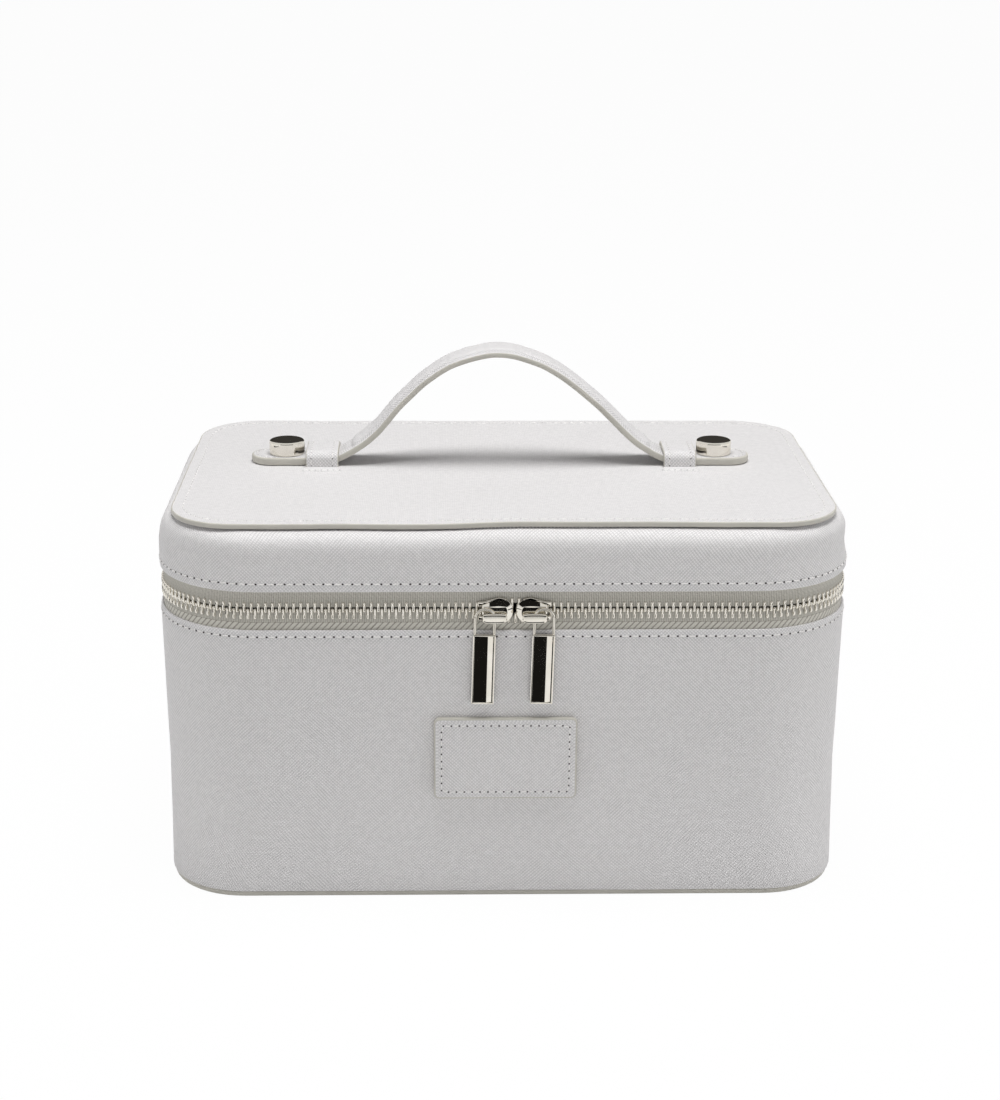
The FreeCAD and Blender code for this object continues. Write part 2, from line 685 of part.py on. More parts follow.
def arch_path(sketch):
    """The arch's middle line: foot arc, straight leg, crown arc, straight leg, foot arc, all tangent."""
    foot_radius = size("foot_radius")
    foot_middle = Vector(strap_join, strap_middle + foot_radius, 0)
    crown_middle = Vector(0, strap_middle + size("arch_height") - arch_radius, 0)
    between = foot_middle - crown_middle
    lean = math.atan2(between.y, between.x) + math.acos((foot_radius + arch_radius) / between.Length)
    out = Vector(math.cos(lean), math.sin(lean), 0)
    leg_top = crown_middle + out * arch_radius
    leg_foot = foot_middle - out * foot_radius

    def flip(point):
        return Vector(-point.x, point.y, 0)

    def arc(middle, radius, start, end):
        circle = Part.Circle(middle, Vector(0, 0, 1), radius)
        return Part.ArcOfCircle(circle, start, end)

    sketch.addGeometry(arc(flip(foot_middle), foot_radius, -math.pi / 2, -lean), False)
    sketch.addGeometry(Part.LineSegment(flip(leg_foot), flip(leg_top)), False)
    sketch.addGeometry(arc(crown_middle, arch_radius, lean, math.pi - lean), False)
    sketch.addGeometry(Part.LineSegment(leg_top, leg_foot), False)
    sketch.addGeometry(arc(foot_middle, foot_radius, lean - math.pi, -math.pi / 2), False)
    for constraint in [("Tangent", 0, 2, 1, 1), ("Tangent", 1, 2, 2, 2), ("Tangent", 2, 1, 3, 1),
                       ("Tangent", 3, 2, 4, 1), ("Equal", 0, 4), ("PointOnObject", 2, 3, -2),
                       ("Vertical", 0, 1, 0, 3), ("Vertical", 4, 2, 4, 3), ("Symmetric", 0, 1, 4, 2, -2)]:
        sketch.addConstraint(Sketcher.Constraint(*constraint))
    for kind, where, value, name, expression in [
            ("Radius", (0,), foot_radius, "Foot", "foot_radius"),
            ("Radius", (2,), arch_radius, "Crown", ARCH_RADIUS),
            ("DistanceX", (0, 1, 4, 2), 2 * strap_join, "Span", f"2 * {STRAP_JOIN}"),
            ("DistanceY", (-1, 1, 4, 2), strap_middle, "Start", STRAP_MIDDLE),
            ("DistanceY", (-1, 1, 2, 3), crown_middle.y, "Middle",
             f"{STRAP_MIDDLE} + arch_height - {ARCH_RADIUS}")]:
        index = sketch.addConstraint(Sketcher.Constraint(kind, *where, value))
        sketch.renameConstraint(index, name)
        sketch.setExpression(f"Constraints.{name}", cells(expression))


def handle_strap():
    """The arch of the handle: one strap of constant section along the arch's middle line."""
    body = new_body("handle_strap_body")
    path = new_sketch(body, "arch_middle_line", "XZ_Plane")
    arch_path(path)
    section = new_sketch(body, "strap_section", "YZ_Plane", f"-1 * {STRAP_JOIN}")
    corners = [(-1, -1), (1, -1), (1, 1), (-1, 1)]
    for index, (y, z) in enumerate(corners):
        y2, z2 = corners[(index + 1) % 4]
        section.addGeometry(Part.LineSegment(Vector(8 * y, strap_middle + z, 0),
                                             Vector(8 * y2, strap_middle + z2, 0)), False)
    for index in range(4):
        section.addConstraint(Sketcher.Constraint("Coincident", index, 2, (index + 1) % 4, 1))
    for straight, index in (("Vertical", 1), ("Horizontal", 2), ("Vertical", 3)):
        section.addConstraint(Sketcher.Constraint(straight, index))
    section.addConstraint(Sketcher.Constraint("Symmetric", 0, 1, 0, 2, -2))
    for kind, where, value, name, expression in [
            ("DistanceX", (0, 1, 0, 2), 16.0, "Width", "strap_width"),
            ("DistanceY", (1, 1, 1, 2), 2.0, "Thickness", "strap_thickness"),
            ("DistanceY", (-1, 1, 0, 1), strap_middle - 1, "Low", f"{STRAP_MIDDLE} - strap_thickness / 2")]:
        index = section.addConstraint(Sketcher.Constraint(kind, *where, value))
        section.renameConstraint(index, name)
        section.setExpression(f"Constraints.{name}", cells(expression))
    doc.recompute()
    pipe = body.newObject("PartDesign::AdditivePipe", "arch_pipe")
    pipe.Profile = section
    pipe.Spine = path
    body.setExpression("Placement.Base.y", cells("handle_back"))
    doc.recompute()
    return body


node("handle_strap", handle_strap())


def strap_end(name, way):
    """The flat end of the strap: it runs through the keeper to a rounded tip and carries the stud."""
    half = size("strap_width") / 2
    straight = strap_tip - half
    thick = size("strap_thickness")
    plate = Part.makeBox(straight - strap_join, 2 * half, thick, Vector(strap_join, -half, 0))
    tip = Part.makeCylinder(half, thick, Vector(straight, 0, 0))
    shape = plate.fuse(tip).removeSplitter()
    under_stud = Vector(stud_middle, 0, 0)
    hole = Part.makeCylinder(size("screw_diameter") / 2, thick, under_stud)
    seat = Part.makeCylinder(size("screw_head_diameter") / 2, size("screw_head_thickness"), under_stud)
    shape = shape.cut(hole).cut(seat)
    if way < 0:
        shape = mirrored(shape)
    return solid(name, shape, Placement(Vector(0, size("handle_back"), strap_low), Rotation()))


def keeper(name, way):
    """The loop over the strap end: a hat-shaped strip whose two flanges are sewn to the panel."""
    inside = size("strap_width") / 2 + size("keeper_room")
    outside = inside + size("keeper_thickness")
    flange = outside + size("keeper_flange")
    under = size("slide_gap") + size("strap_thickness") + size("keeper_headroom")
    over = under + size("keeper_thickness")
    low = size("keeper_flange_thickness")
    profile = [(-flange, 0), (-inside, 0), (-inside, under), (inside, under), (inside, 0), (flange, 0),
               (flange, low), (outside, low), (outside, over), (-outside, over), (-outside, low),
               (-flange, low)]
    start = keeper_inner if way > 0 else -keeper_inner - size("keeper_length")
    points = [Vector(start, y, z) for y, z in profile]
    shape = Part.Face(Part.makePolygon(points + points[:1])).extrude(Vector(size("keeper_length"), 0, 0))
    rounded = [edge for edge in shape.Edges if edge.BoundBox.XLength > size("keeper_length") / 2
               and abs(edge.BoundBox.ZMin - over) < 1e-4 and abs(abs(edge.BoundBox.YMin) - outside) < 1e-4]
    shape = shape.makeFillet(size("keeper_thickness") / 2, rounded)
    return solid(name, shape, Placement(Vector(0, size("handle_back"), panel_top), Rotation()))


def stud(name, way):
    """A polished disc with a softened edge that stands on the strap end; a blind hole takes the screw."""
    body = new_body(name + "_body")
    outline = new_sketch(body, name + "_outline", "XY_Plane")
    add_circle(outline, "0 mm", "0 mm", "stud_diameter")
    disc = pad(body, outline, "stud_height", name + "_pad")
    bevel_edges(body, disc, edges_at(disc.Shape, size("stud_height")), "stud_edge", name + "_edge")
    hole = new_sketch(body, name + "_hole_outline", "XY_Plane")
    add_circle(hole, "0 mm", "0 mm", "screw_diameter")
    pocket(body, hole, "stud_height / 2", name + "_hole", reversed_way=True)
    strap_top = strap_low + size("strap_thickness")
    body.Placement = Placement(Vector(way * stud_middle, size("handle_back"), strap_top), Rotation())
    return body


def stud_screw(name, way):
    """The screw that holds the stud, its flat head sunk in the strap end's underside."""
    head = Part.makeCylinder(size("screw_head_diameter") / 2, size("screw_head_thickness"))
    length = size("strap_thickness") + size("stud_height") / 2 - size("screw_head_thickness")
    shank = Part.makeCylinder(size("screw_diameter") / 2, length, Vector(0, 0, size("screw_head_thickness")))
    shape = head.fuse(shank).removeSplitter()
    place = Placement(Vector(way * stud_middle, size("handle_back"), strap_low), Rotation())
    return solid(name, shape, place)


for word, way in (("left", -1), ("right", 1)):
    node(f"strap_end_{word}", strap_end(f"strap_end_{word}", way))
    node(f"keeper_{word}", keeper(f"keeper_{word}", way))
    node(f"stud_{word}", stud(f"stud_{word}", way))
    node(f"stud_screw_{word}", stud_screw(f"stud_screw_{word}", way))


# --------------------------------------------------------------------------------------------------
# Check and export
# --------------------------------------------------------------------------------------------------

doc.recompute()
failed = [thing.Name for thing in doc.Objects if "Invalid" in thing.State or "Error" in thing.State]
broken = [thing.Label for thing in nodes if thing.Shape.isNull() or not thing.Shape.isValid()]
if failed or broken:
    raise RuntimeError(f"failed features {failed}, broken shapes {broken}")
os.makedirs("parts", exist_ok=True)
for thing in nodes:
    thing.Shape.exportStep(f"parts/{thing.Label}.step")
    box = thing.Shape.BoundBox
    print(f"{thing.Label:20s} {len(thing.Shape.Solids):4d} solids {thing.Shape.Volume:12.1f} mm3  "
          f"x {box.XMin:7.1f} {box.XMax:7.1f}  y {box.YMin:7.1f} {box.YMax:7.1f}  "
          f"z {box.ZMin:6.1f} {box.ZMax:6.1f}")
print(len(nodes), "nodes")
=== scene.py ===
# %% [markdown]
# # A makeup storage case with a strap handle
# A stiff box of lined board is wrapped in pale grey cross-hatched leather. A zip runs round it
# between the base and the lid, two sliders meet at the front, and a strap handle bends over the top
# panel. The engineering model gives every place and size, and each cell below adds the surface that
# a hand would feel: grain, stitches, painted edges and polished metal.

# %% Load the fixed frame
import math
from functools import partialmethod

import bmesh
import bpy
from mathutils import Matrix, Vector, noise


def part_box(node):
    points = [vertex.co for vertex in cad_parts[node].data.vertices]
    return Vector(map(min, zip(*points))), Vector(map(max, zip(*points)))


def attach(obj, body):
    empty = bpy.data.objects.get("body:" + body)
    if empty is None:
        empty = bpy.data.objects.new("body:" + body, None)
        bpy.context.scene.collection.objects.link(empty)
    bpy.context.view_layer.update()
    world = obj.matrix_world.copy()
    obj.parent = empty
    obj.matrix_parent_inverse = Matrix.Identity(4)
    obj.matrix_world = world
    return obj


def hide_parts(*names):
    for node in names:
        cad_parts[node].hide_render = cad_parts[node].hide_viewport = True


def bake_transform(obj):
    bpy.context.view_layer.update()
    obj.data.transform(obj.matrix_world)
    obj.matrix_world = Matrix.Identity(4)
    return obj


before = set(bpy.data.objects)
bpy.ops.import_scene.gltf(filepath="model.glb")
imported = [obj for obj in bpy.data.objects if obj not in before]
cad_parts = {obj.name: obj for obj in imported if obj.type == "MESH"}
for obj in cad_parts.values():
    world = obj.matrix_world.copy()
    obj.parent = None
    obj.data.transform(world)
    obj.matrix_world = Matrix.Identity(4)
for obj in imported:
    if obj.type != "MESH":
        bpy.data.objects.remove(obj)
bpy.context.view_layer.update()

# %% [markdown]
# ## The camera
# A product camera stands a little above the case and looks down on it through a long lens, so that
# the walls hardly converge. Its place is in millimetres, as the rest of this lesson is, and one
# factor turns them into Blender's metres.

# %% Camera
MM = 0.001
SENSOR = 36.0
FOCAL_SHARE = 2135.7 / 1100
CAMERA_SPOT = (-20.7, -783.3, 358.2)
CAMERA_TURN, CAMERA_TILT, CAMERA_ROLL = 0.026, 0.309, 0.0065


def place_camera(spot, turn, tilt, roll):
    """A camera at spot (mm) that is turned right of +Y, tilted down and rolled, all in radians."""
    data = bpy.data.cameras.new("product_camera")
    data.lens = SENSOR * FOCAL_SHARE
    data.sensor_width = SENSOR
    data.clip_start = 0.01
    camera = bpy.data.objects.new("product_camera", data)
    bpy.context.scene.collection.objects.link(camera)
    camera.matrix_world = (Matrix.Translation(Vector(spot) * MM) @ Matrix.Rotation(-turn, 4, "Z")
                           @ Matrix.Rotation(math.pi / 2 - tilt, 4, "X") @ Matrix.Rotation(roll, 4, "Z"))
    bpy.context.scene.camera = camera
    print("camera lens", round(data.lens, 2), "mm")


place_camera(CAMERA_SPOT, CAMERA_TURN, CAMERA_TILT, CAMERA_ROLL)

# %% [markdown]
# ## Measures taken from the model
# Nothing is placed by eye: the boxes of the model's pieces say where the walls, the two lips beside
# the zip, the panel and the handle are. That keeps the soft pieces on the hard ones if the model is
# changed.

# %% Measures
def box_mm(node):
    """Lowest and highest corner of a piece of the model, in millimetres."""
    low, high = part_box(node)
    return low / MM, high / MM


wall_low, wall_high = box_mm("outer_wall")
lid_low, lid_high = box_mm("lid_cover")
panel_low, panel_high = box_mm("top_panel")
bottom_high = box_mm("bottom_panel")[1]
HALF_WIDTH = wall_high.x
HALF_DEPTH = wall_high.y
LIP_LOW = wall_high.z
LIP_HIGH = lid_low.z
CHAIN_Z = (LIP_LOW + LIP_HIGH) / 2
CORNER = 37.0
WALL_CORNER = 38.0
DRAWN_IN = HALF_WIDTH - 0.8 - bottom_high.x
TAPE_INSET = 1.2
CHAIN_INSET = 1.6
MEET_X = 2.9
SIDES = (("left", -1), ("right", 1))
print("case", round(2 * HALF_WIDTH), "x", round(2 * HALF_DEPTH), "mm, chain at", round(CHAIN_Z, 1))

# %% [markdown]
# ## Turning numbers into meshes
# Almost every piece is a skin stretched over rows of points: a wall is a rounded outline repeated
# at many heights, a strap is a flat section repeated along an arch, a stud is a circle repeated up
# its side. One helper joins each row to the next. It also writes where each point lies on the flat
# material, in millimetres, which keeps the grain at the same scale on every piece.

# %% Outlines
def clamp(value):
    return max(0.0, min(1.0, value))


def ease(value):
    """A smooth step that is 0 below 0 and 1 above 1."""
    value = clamp(value)
    return value * value * (3 - 2 * value)


def even(start, end, steps):
    """Numbers from start to end in even steps, both included."""
    return [start + (end - start) * step / steps for step in range(steps + 1)]


def arc(middle, radius, start, end, steps):
    """Points along an arc whose two angles are in degrees."""
    return [Vector(middle) + radius * Vector((math.cos(turn), math.sin(turn)))
            for turn in map(math.radians, even(start, end, steps))]


def hoop(middle, one, other, count):
    """Points round a middle, on the ellipse that two vectors span."""
    return [middle + math.cos(turn) * one + math.sin(turn) * other for turn in even(0, math.tau, count)[:-1]]


def bulged(value, power):
    """A sine or cosine raised to a power with its sign kept, which squares a circle's corners."""
    return math.copysign(abs(value) ** power, value)


def circle(radius, count=48):
    return arc((0, 0), radius, 0, 360, count)[:-1]


def outline(half_x, half_y, radius, straight=4.0, steps=12):
    """A rounded rectangle from the middle of the back, anticlockwise seen from above."""
    x, y = half_x - radius, half_y - radius
    half_long = max(2, round(2 * (HALF_WIDTH - CORNER) / straight)) // 2
    short = max(2, round(2 * (HALF_DEPTH - CORNER) / straight))
    corners = (((-x, y), 90, half_long), ((-x, -y), 180, short), ((x, -y), 270, 2 * half_long),
               ((x, y), 0, short))
    points = [Vector((0.0, half_y))]
    for middle, start, count in corners:
        corner = arc(middle, radius, start, start + 90, steps)
        near = points[-1]
        points += [near.lerp(corner[0], part / count) for part in range(1, count)] + corner
    return points + [points[-1].lerp(points[0], part / half_long) for part in range(1, half_long)]


def small_outline(half_x, half_y, radius, steps=8):
    """A small rounded rectangle, anticlockwise."""
    corners = []
    for x, y, start in ((1, 1, 0), (-1, 1, 90), (-1, -1, 180), (1, -1, 270)):
        corners += arc((x * (half_x - radius), y * (half_y - radius)), radius, start, start + 90, steps)
    full = []
    for here, there in zip(corners, corners[1:] + corners[:1]):
        count = max(1, round((there - here).length / 3.0))
        full += [here.lerp(there, part / count) for part in range(count)]
    return full


def spaced(points, closed=True):
    """Distance of each point along the line that they make, with the closing distance at the end."""
    run = [0.0]
    for here, there in zip(points, points[1:] + (points[:1] if closed else [])):
        run.append(run[-1] + (there - here).length)
    return run


def lift(flat, z):
    return [Vector((point.x, point.y, z)) for point in flat]


def inset_loop(flat, amount):
    """The loop drawn inwards by amount, for loops that run anticlockwise."""
    loop = []
    for before, here, after in zip(flat[-1:] + flat[:-1], flat, flat[1:] + flat[:1]):
        a = (here - before).normalized()
        b = (after - here).normalized()
        normal = Vector((-a.y - b.y, a.x + b.x)).normalized()
        loop.append(here + normal * amount / max(0.4, normal.dot(Vector((-a.y, a.x)))))
    return loop


print("an outline of the case has", len(outline(HALF_WIDTH, HALF_DEPTH, CORNER)), "points")


# %% Skins
class Skin:
    """Collects faces with their material and their place on the flat material, then makes an object."""

    def __init__(self, name):
        self.name = name
        self.mesh = bmesh.new()
        self.grain = self.mesh.loops.layers.uv.new("grain")

    def rows(self, rows, along=None, across=None, closed=True, bands=None, columns=None, flip=False):
        """Join each row of points to the next; bands or columns give each strip's material number."""
        grid = [[self.mesh.verts.new(point) for point in row] for row in rows]
        count = len(rows[0])
        along = along or spaced(rows[len(rows) // 2], closed)
        across = across or spaced([row[0] for row in rows], closed=False)
        for low in range(len(rows) - 1):
            for left in range(count if closed else count - 1):
                right = (left + 1) % count
                corners = [(low, left, left), (low, right, left + 1),
                           (low + 1, right, left + 1), (low + 1, left, left)]
                if flip:
                    corners.reverse()
                face = self.mesh.faces.new([grid[row][column] for row, column, _ in corners])
                face.smooth = True
                face.material_index = bands[low] if bands else columns[left] if columns else 0
                for loop, (row, _, place) in zip(face.loops, corners):
                    loop[self.grain].uv = (along[place], across[row])
        return grid

    def cap(self, ring, material=0, flip=False, smooth=False):
        """Close one end with a single flat face."""
        face = self.mesh.faces.new(ring[::-1] if flip else ring)
        face.material_index = material
        face.smooth = smooth
        for loop in face.loops:
            loop[self.grain].uv = (loop.vert.co.x, loop.vert.co.y)

    def closed_rows(self, rows, bands=None, ends=(0, 0), smooth=False, **options):
        """Rows whose two ends are capped."""
        grid = self.rows(rows, bands=bands, **options)
        flip = options.get("flip", False)
        self.cap(grid[0], ends[0], flip=not flip, smooth=smooth)
        self.cap(grid[-1], ends[1], flip=flip, smooth=smooth)

    def plate(self, loop, steps, bands=None, place=Matrix(), smooth=False):
        """A plate or disc: the loop repeated at (inset, height) steps, closed at both ends."""
        rows = [[place @ point for point in lift(inset_loop(loop, inset), height)] for inset, height in steps]
        self.closed_rows(rows, bands, along=spaced(loop), smooth=smooth)

    def finish(self, finishes, body=None, replaces=(), slot=None, matrix=None, mirror=False):
        """Make the object in metres, give it its finishes and put it on its body."""
        if matrix:
            self.mesh.transform(matrix)
        if mirror:
            self.mesh.transform(Matrix.Scale(-1, 4, Vector((1, 0, 0))))
            bmesh.ops.reverse_faces(self.mesh, faces=self.mesh.faces)
        self.mesh.transform(Matrix.Scale(MM, 4))
        data = bpy.data.meshes.new(self.name)
        self.mesh.to_mesh(data)
        self.mesh.free()
        for finish in finishes:
            data.materials.append(finish)
        thing = bpy.data.objects.new(self.name, data)
        bpy.context.scene.collection.objects.link(thing)
        if body:
            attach(thing, body)
        if replaces:
            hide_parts(*replaces)
        print(f"{self.name}: {len(data.polygons)} faces")
        return thing


def rounded(radius, low, high):
    """Steps of a plate from low to high whose two rims are rounded."""
    quarter = arc((0, 0), 1.0, 90, 0, 4)
    return ([(radius * (1 - out), low + radius * (1 - up)) for out, up in quarter]
            + [(radius * (1 - out), high - radius * (1 - up)) for out, up in reversed(quarter)])


print("a rounded rim has", len(rounded(0.5, 0, 2)), "steps")

# %% [markdown]
# ## Writing shader maths as maths
# A procedural material is a sum: grooves here, a little noise there. Wiring it by hand hides the
# sum behind dozens of boxes, so a small class wraps one output socket and lets it be added and
# multiplied like a number. One method makes any node from its type, its settings and its inputs.

# %% The socket wrapper
class Wire:
    """One output of a node tree. Arithmetic on it adds Math nodes."""

    def __init__(self, finish, socket):
        self.finish = finish
        self.socket = socket

    def math(self, operation, *others):
        return self.finish.node("Math", {"operation": operation}, dict(enumerate((self, *others))))

    __add__ = __radd__ = partialmethod(math, "ADD")
    __sub__ = partialmethod(math, "SUBTRACT")
    __mul__ = __rmul__ = partialmethod(math, "MULTIPLY")
    __pow__ = partialmethod(math, "POWER")
    sin = partialmethod(math, "SINE")
    abs = partialmethod(math, "ABSOLUTE")
    least = partialmethod(math, "MINIMUM")

    def __rsub__(self, other):
        return self.finish.node("Math", {"operation": "SUBTRACT"}, {0: other, 1: self})

    def ramp(self, low, high):
        """0 at low, 1 at high, smooth between."""
        return self.finish.node("MapRange", {"interpolation_type": "SMOOTHSTEP"},
                                {"Value": self, "From Min": low, "From Max": high})


# %% A finish under construction
class Finish:
    """The node tree of a material, or of the owner that is given."""

    def __init__(self, name, owner=None):
        self.material = owner or bpy.data.materials.new(name)
        self.material.use_nodes = True
        self.tree = self.material.node_tree
        self.tree.nodes.clear()

    def node(self, kind, settings=None, sockets=None, out=0):
        """Any node: its settings are set first, then its sockets get values or wires."""
        node = self.tree.nodes.new("ShaderNode" + kind)
        for key, value in (settings or {}).items():
            setattr(node, key, value)
        for key, value in (sockets or {}).items():
            socket = node.inputs[key]
            if isinstance(value, Wire):
                self.tree.links.new(value.socket, socket)
            elif value is not None:
                socket.default_value = (*value, 1) if socket.type == "RGBA" and len(value) == 3 else value
        return Wire(self, node.outputs[out])

    def split(self, place):
        """The three numbers of a vector."""
        return [Wire(self, socket) for socket in self.node("SeparateXYZ", {}, {0: place}).socket.node.outputs]

    def mix(self, share, first, second):
        """A colour between two colours."""
        return self.node("Mix", {"data_type": "RGBA"}, {0: share, 6: first, 7: second}, out=2)

    def noise(self, place, scale, detail=2.0):
        return self.node("TexNoise", {}, {"Vector": place, "Scale": scale, "Detail": detail})

    def stretched(self, place, turn=0.0, scale=(1, 1, 1)):
        return self.node("Mapping", {}, {0: place, 2: (0, 0, turn), 3: scale})

    def bump(self, height, strength, distance):
        return self.node("Bump", {}, {"Strength": strength, "Distance": distance, "Height": height})

    def surface(self, **sockets):
        """The Principled shader and the output; underscores in a name stand for spaces."""
        named = {key.replace("_", " "): value for key, value in sockets.items()}
        return self.output(self.node("BsdfPrincipled", {}, named))

    def output(self, shader, kind="OutputMaterial"):
        node = self.tree.nodes.new("ShaderNode" + kind)
        self.tree.links.new(shader.socket, node.inputs["Surface"])
        return self.material


def srgb(red, green, blue):
    """A colour written as on a screen, 0 to 255, as the linear values that Blender uses."""
    return tuple((c / 255 / 12.92) if c <= 10 else ((c / 255 + 0.055) / 1.055) ** 2.4
                 for c in (red, green, blue))


def darker(color, share):
    return tuple(c * share for c in color)


print("mid grey is", [round(c, 3) for c in srgb(128, 128, 128)])

# %% [markdown]
# ## The cross-hatched leather
# This leather is pressed with a plate that leaves two sets of fine grooves, one along each
# diagonal, about 0.9 mm apart, so its surface is a field of tiny diamonds under a slightly waxy
# film. Each diagonal's distance on the flat leather goes through a sine, and the lower of the two
# is the groove, whose colour is painted darker as painted shade. Noise bends the lines and makes
# one set or the other shallower, as the plate never presses evenly, and a few long pale threads
# stand out along the diagonals.

# %% Leather finishes
def flat_place(finish):
    """The place on the flat material, in millimetres, and its two parts."""
    place = finish.node("UVMap", {"uv_map": "grain"})
    return (place, *finish.split(place)[:2])


def hatched_leather(name, color, pitch, painted_groove_shade):
    """Diamond-grained leather; the last number darkens the colour in the grooves, as painted shade."""
    finish = Finish(name)
    place, u, v = flat_place(finish)
    drift = finish.noise(place, 0.09, 3.0) * 2.6
    sway = finish.noise(place, 0.9) * 0.35
    step = math.pi / pitch / math.sqrt(2)
    leaning = finish.noise(place, 0.07, 3.0).ramp(0.25, 0.75)
    rising = ((u + v) * step + drift + sway).sin().abs() + leaning * 0.30
    falling = ((u - v) * step + drift - sway).sin().abs() + (1 - leaning) * 0.30
    groove = rising.least(falling).least(1.0) ** 0.8
    press = finish.noise(place, 0.5).ramp(0.25, 0.75)
    pores = finish.noise(place, 3.2)
    long_noise = (finish.noise(finish.stretched(place, math.radians(turn), (0.045, 1.1, 1)), 1.0, 3.0)
                  for turn in (45, -45))
    threads = sum(streak.ramp(0.66, 0.80) for streak in long_noise)
    # Painted shade: the colour is darker in the grooves.
    base = finish.mix(groove * 0.85 + press * 0.15, darker(color, painted_groove_shade), color)
    base = finish.mix((threads * 0.30).least(0.5), base, darker(color, 1.10))
    height = groove * (0.6 + press * 0.4) + pores * 0.15
    return finish.surface(Base_Color=base, Roughness=0.54 - groove * 0.08 + pores * 0.04,
                          Normal=finish.bump(height, 0.8, 0.00012), Specular_IOR_Level=0.40)


def painted_edge(name, color):
    """Edge paint: a thick, smooth, slightly glossy film that still shows where it was brushed."""
    finish = Finish(name)
    place = finish.node("TexCoord", out=3)
    brushed = finish.noise(place, 300.0, 3.0)
    lumps = finish.noise(place, 90.0)
    base = finish.mix(lumps.ramp(0.3, 0.7), darker(color, 0.93), color)
    return finish.surface(Base_Color=base, Roughness=0.38 + brushed * 0.12,
                          Normal=finish.bump(lumps + brushed * 0.3, 0.2, 0.00015))


LEATHER = srgb(228, 226, 226)
leather = hatched_leather("pale_grey_hatched_leather", LEATHER, 0.90, 0.52)
handle_leather = hatched_leather("fine_grained_handle_leather", LEATHER, 0.74, 0.42)
edge_paint = painted_edge("grey_edge_paint", srgb(190, 187, 178))
leather_set = [leather, edge_paint]
handle_set = [handle_leather, edge_paint]
print("leather and edge paint are ready")

# %% [markdown]
# ## Tape, thread, lining and metal
# The zip tape is a warm grey weave of fine upright ribs, and on the lower tape the band next to the
# leather is a bolder slanted twill. The thread is a paler twist, and each needle hole is a small
# flat disc painted dark, as painted shade. Polished nickel is nearly all reflection, so it needs
# only its warm colour and faint polishing marks. The lining is a fine plain weave.

# %% Tape, thread, lining and metal
TWILL = (4.4, 7.2)
RIB_PITCH = 0.62
PICK_PITCH = 0.55
TWILL_PITCH = 2.1


def wave(place, pitch):
    """Even ridges between 0 and 1 along a place in millimetres."""
    return (place * (math.tau / pitch)).sin() * 0.5 + 0.5


def ribbed_tape(name, twill):
    """Woven tape; twill says how strong the slanted band beside the leather is."""
    finish = Finish(name)
    place, u, v = flat_place(finish)
    band = v.ramp(TWILL[0] - 0.2, TWILL[0] + 0.2) * (1 - v.ramp(TWILL[1] - 0.1, TWILL[1] + 0.3)) * twill
    ribs = wave(u, RIB_PITCH)
    slanted = ((u + v * 0.9) * (math.tau / TWILL_PITCH)).sin().ramp(-1.1, -0.2)
    picks = wave(v, PICK_PITCH)
    yarn = finish.noise(place, 2.4, 3.0).ramp(0.3, 0.7)
    plain_weave = ribs * 0.55 + picks * 0.2 + yarn * 0.25
    height = plain_weave * (1 - band) + (slanted * 0.75 + yarn * 0.25) * band
    seam_line = 1 - (v - TWILL[0]).abs().ramp(0.0, 0.28)
    height = height - seam_line * (0.35 * twill)
    base = finish.mix(height.ramp(-0.1, 1.0), srgb(136, 132, 123), srgb(204, 201, 192))
    return finish.surface(Base_Color=base, Roughness=0.85, Sheen_Weight=0.15,
                          Normal=finish.bump(height, 0.6, 0.00018))


def matt(name, color, rough, rib=0.0):
    """Thread, the painted shade of needle holes and other small matt things."""
    finish = Finish(name)
    fibre = finish.noise(finish.node("TexCoord", out=3), 2500.0)
    base = finish.mix(fibre.ramp(0.3, 0.7), darker(color, 0.86), color)
    return finish.surface(Base_Color=base, Roughness=rough, Normal=finish.bump(fibre, rib, 0.00008))


def lining_cloth():
    """A fine plain weave, from the place in metres."""
    finish = Finish("smooth_lining_cloth")
    place = finish.node("TexCoord", out=3)
    x, y, z = finish.split(place)
    warp = ((x + y) * 9000.0).sin() * 0.5 + 0.5
    weft = (z * 9000.0 + (x - y) * 4000.0).sin() * 0.5 + 0.5
    weave = warp * weft
    slub = finish.noise(place, 500.0, 3.0)
    base = finish.mix((weave * 0.6 + slub * 0.5).ramp(0.2, 0.9), srgb(196, 194, 192), srgb(222, 220, 218))
    return finish.surface(Base_Color=base, Roughness=0.8, Sheen_Weight=0.2,
                          Normal=finish.bump(weave + slub * 0.4, 0.3, 0.0001))


def polished_nickel(name, rough):
    """Warm nickel with a little haze and fine polishing marks round it."""
    finish = Finish(name)
    place = finish.node("TexCoord", out=3)
    haze = finish.noise(place, 120.0).ramp(0.35, 0.75)
    marks = finish.noise(finish.stretched(place, 0.0, (1.0, 1.0, 14.0)), 260.0)
    base = finish.mix(haze, srgb(228, 223, 212), srgb(238, 234, 225))
    return finish.surface(Base_Color=base, Metallic=1.0, Roughness=haze * 0.04 + rough,
                          Normal=finish.bump(marks, 0.04, 0.00005))


lower_cloth = ribbed_tape("twill_edged_zip_tape", 1.0)
upper_cloth = ribbed_tape("ribbed_zip_tape", 0.15)
thread = matt("pale_thread", srgb(238, 236, 234), 0.7, 0.4)
# Needle holes are painted shade: a dark colour on a flat disc where the hole is.
painted_hole_shade = matt("painted_hole_shade", srgb(62, 54, 56), 0.9)
lining = lining_cloth()
nickel = polished_nickel("polished_nickel", 0.05)
zip_nickel = polished_nickel("zip_nickel", 0.13)
print("finishes so far:", len(bpy.data.materials))

# %% [markdown]
# ## The base's leather
# The leather is one band round the box, drawn in a little towards the bottom, with tighter corners
# there than at the zip. At the top it folds over a soft lip and goes down behind itself, where the
# tape is sewn in, to the flat rim that meets the lining. A plain extrusion has neither the fold nor
# the slight waver that glued leather always shows, so the band is built as rows.

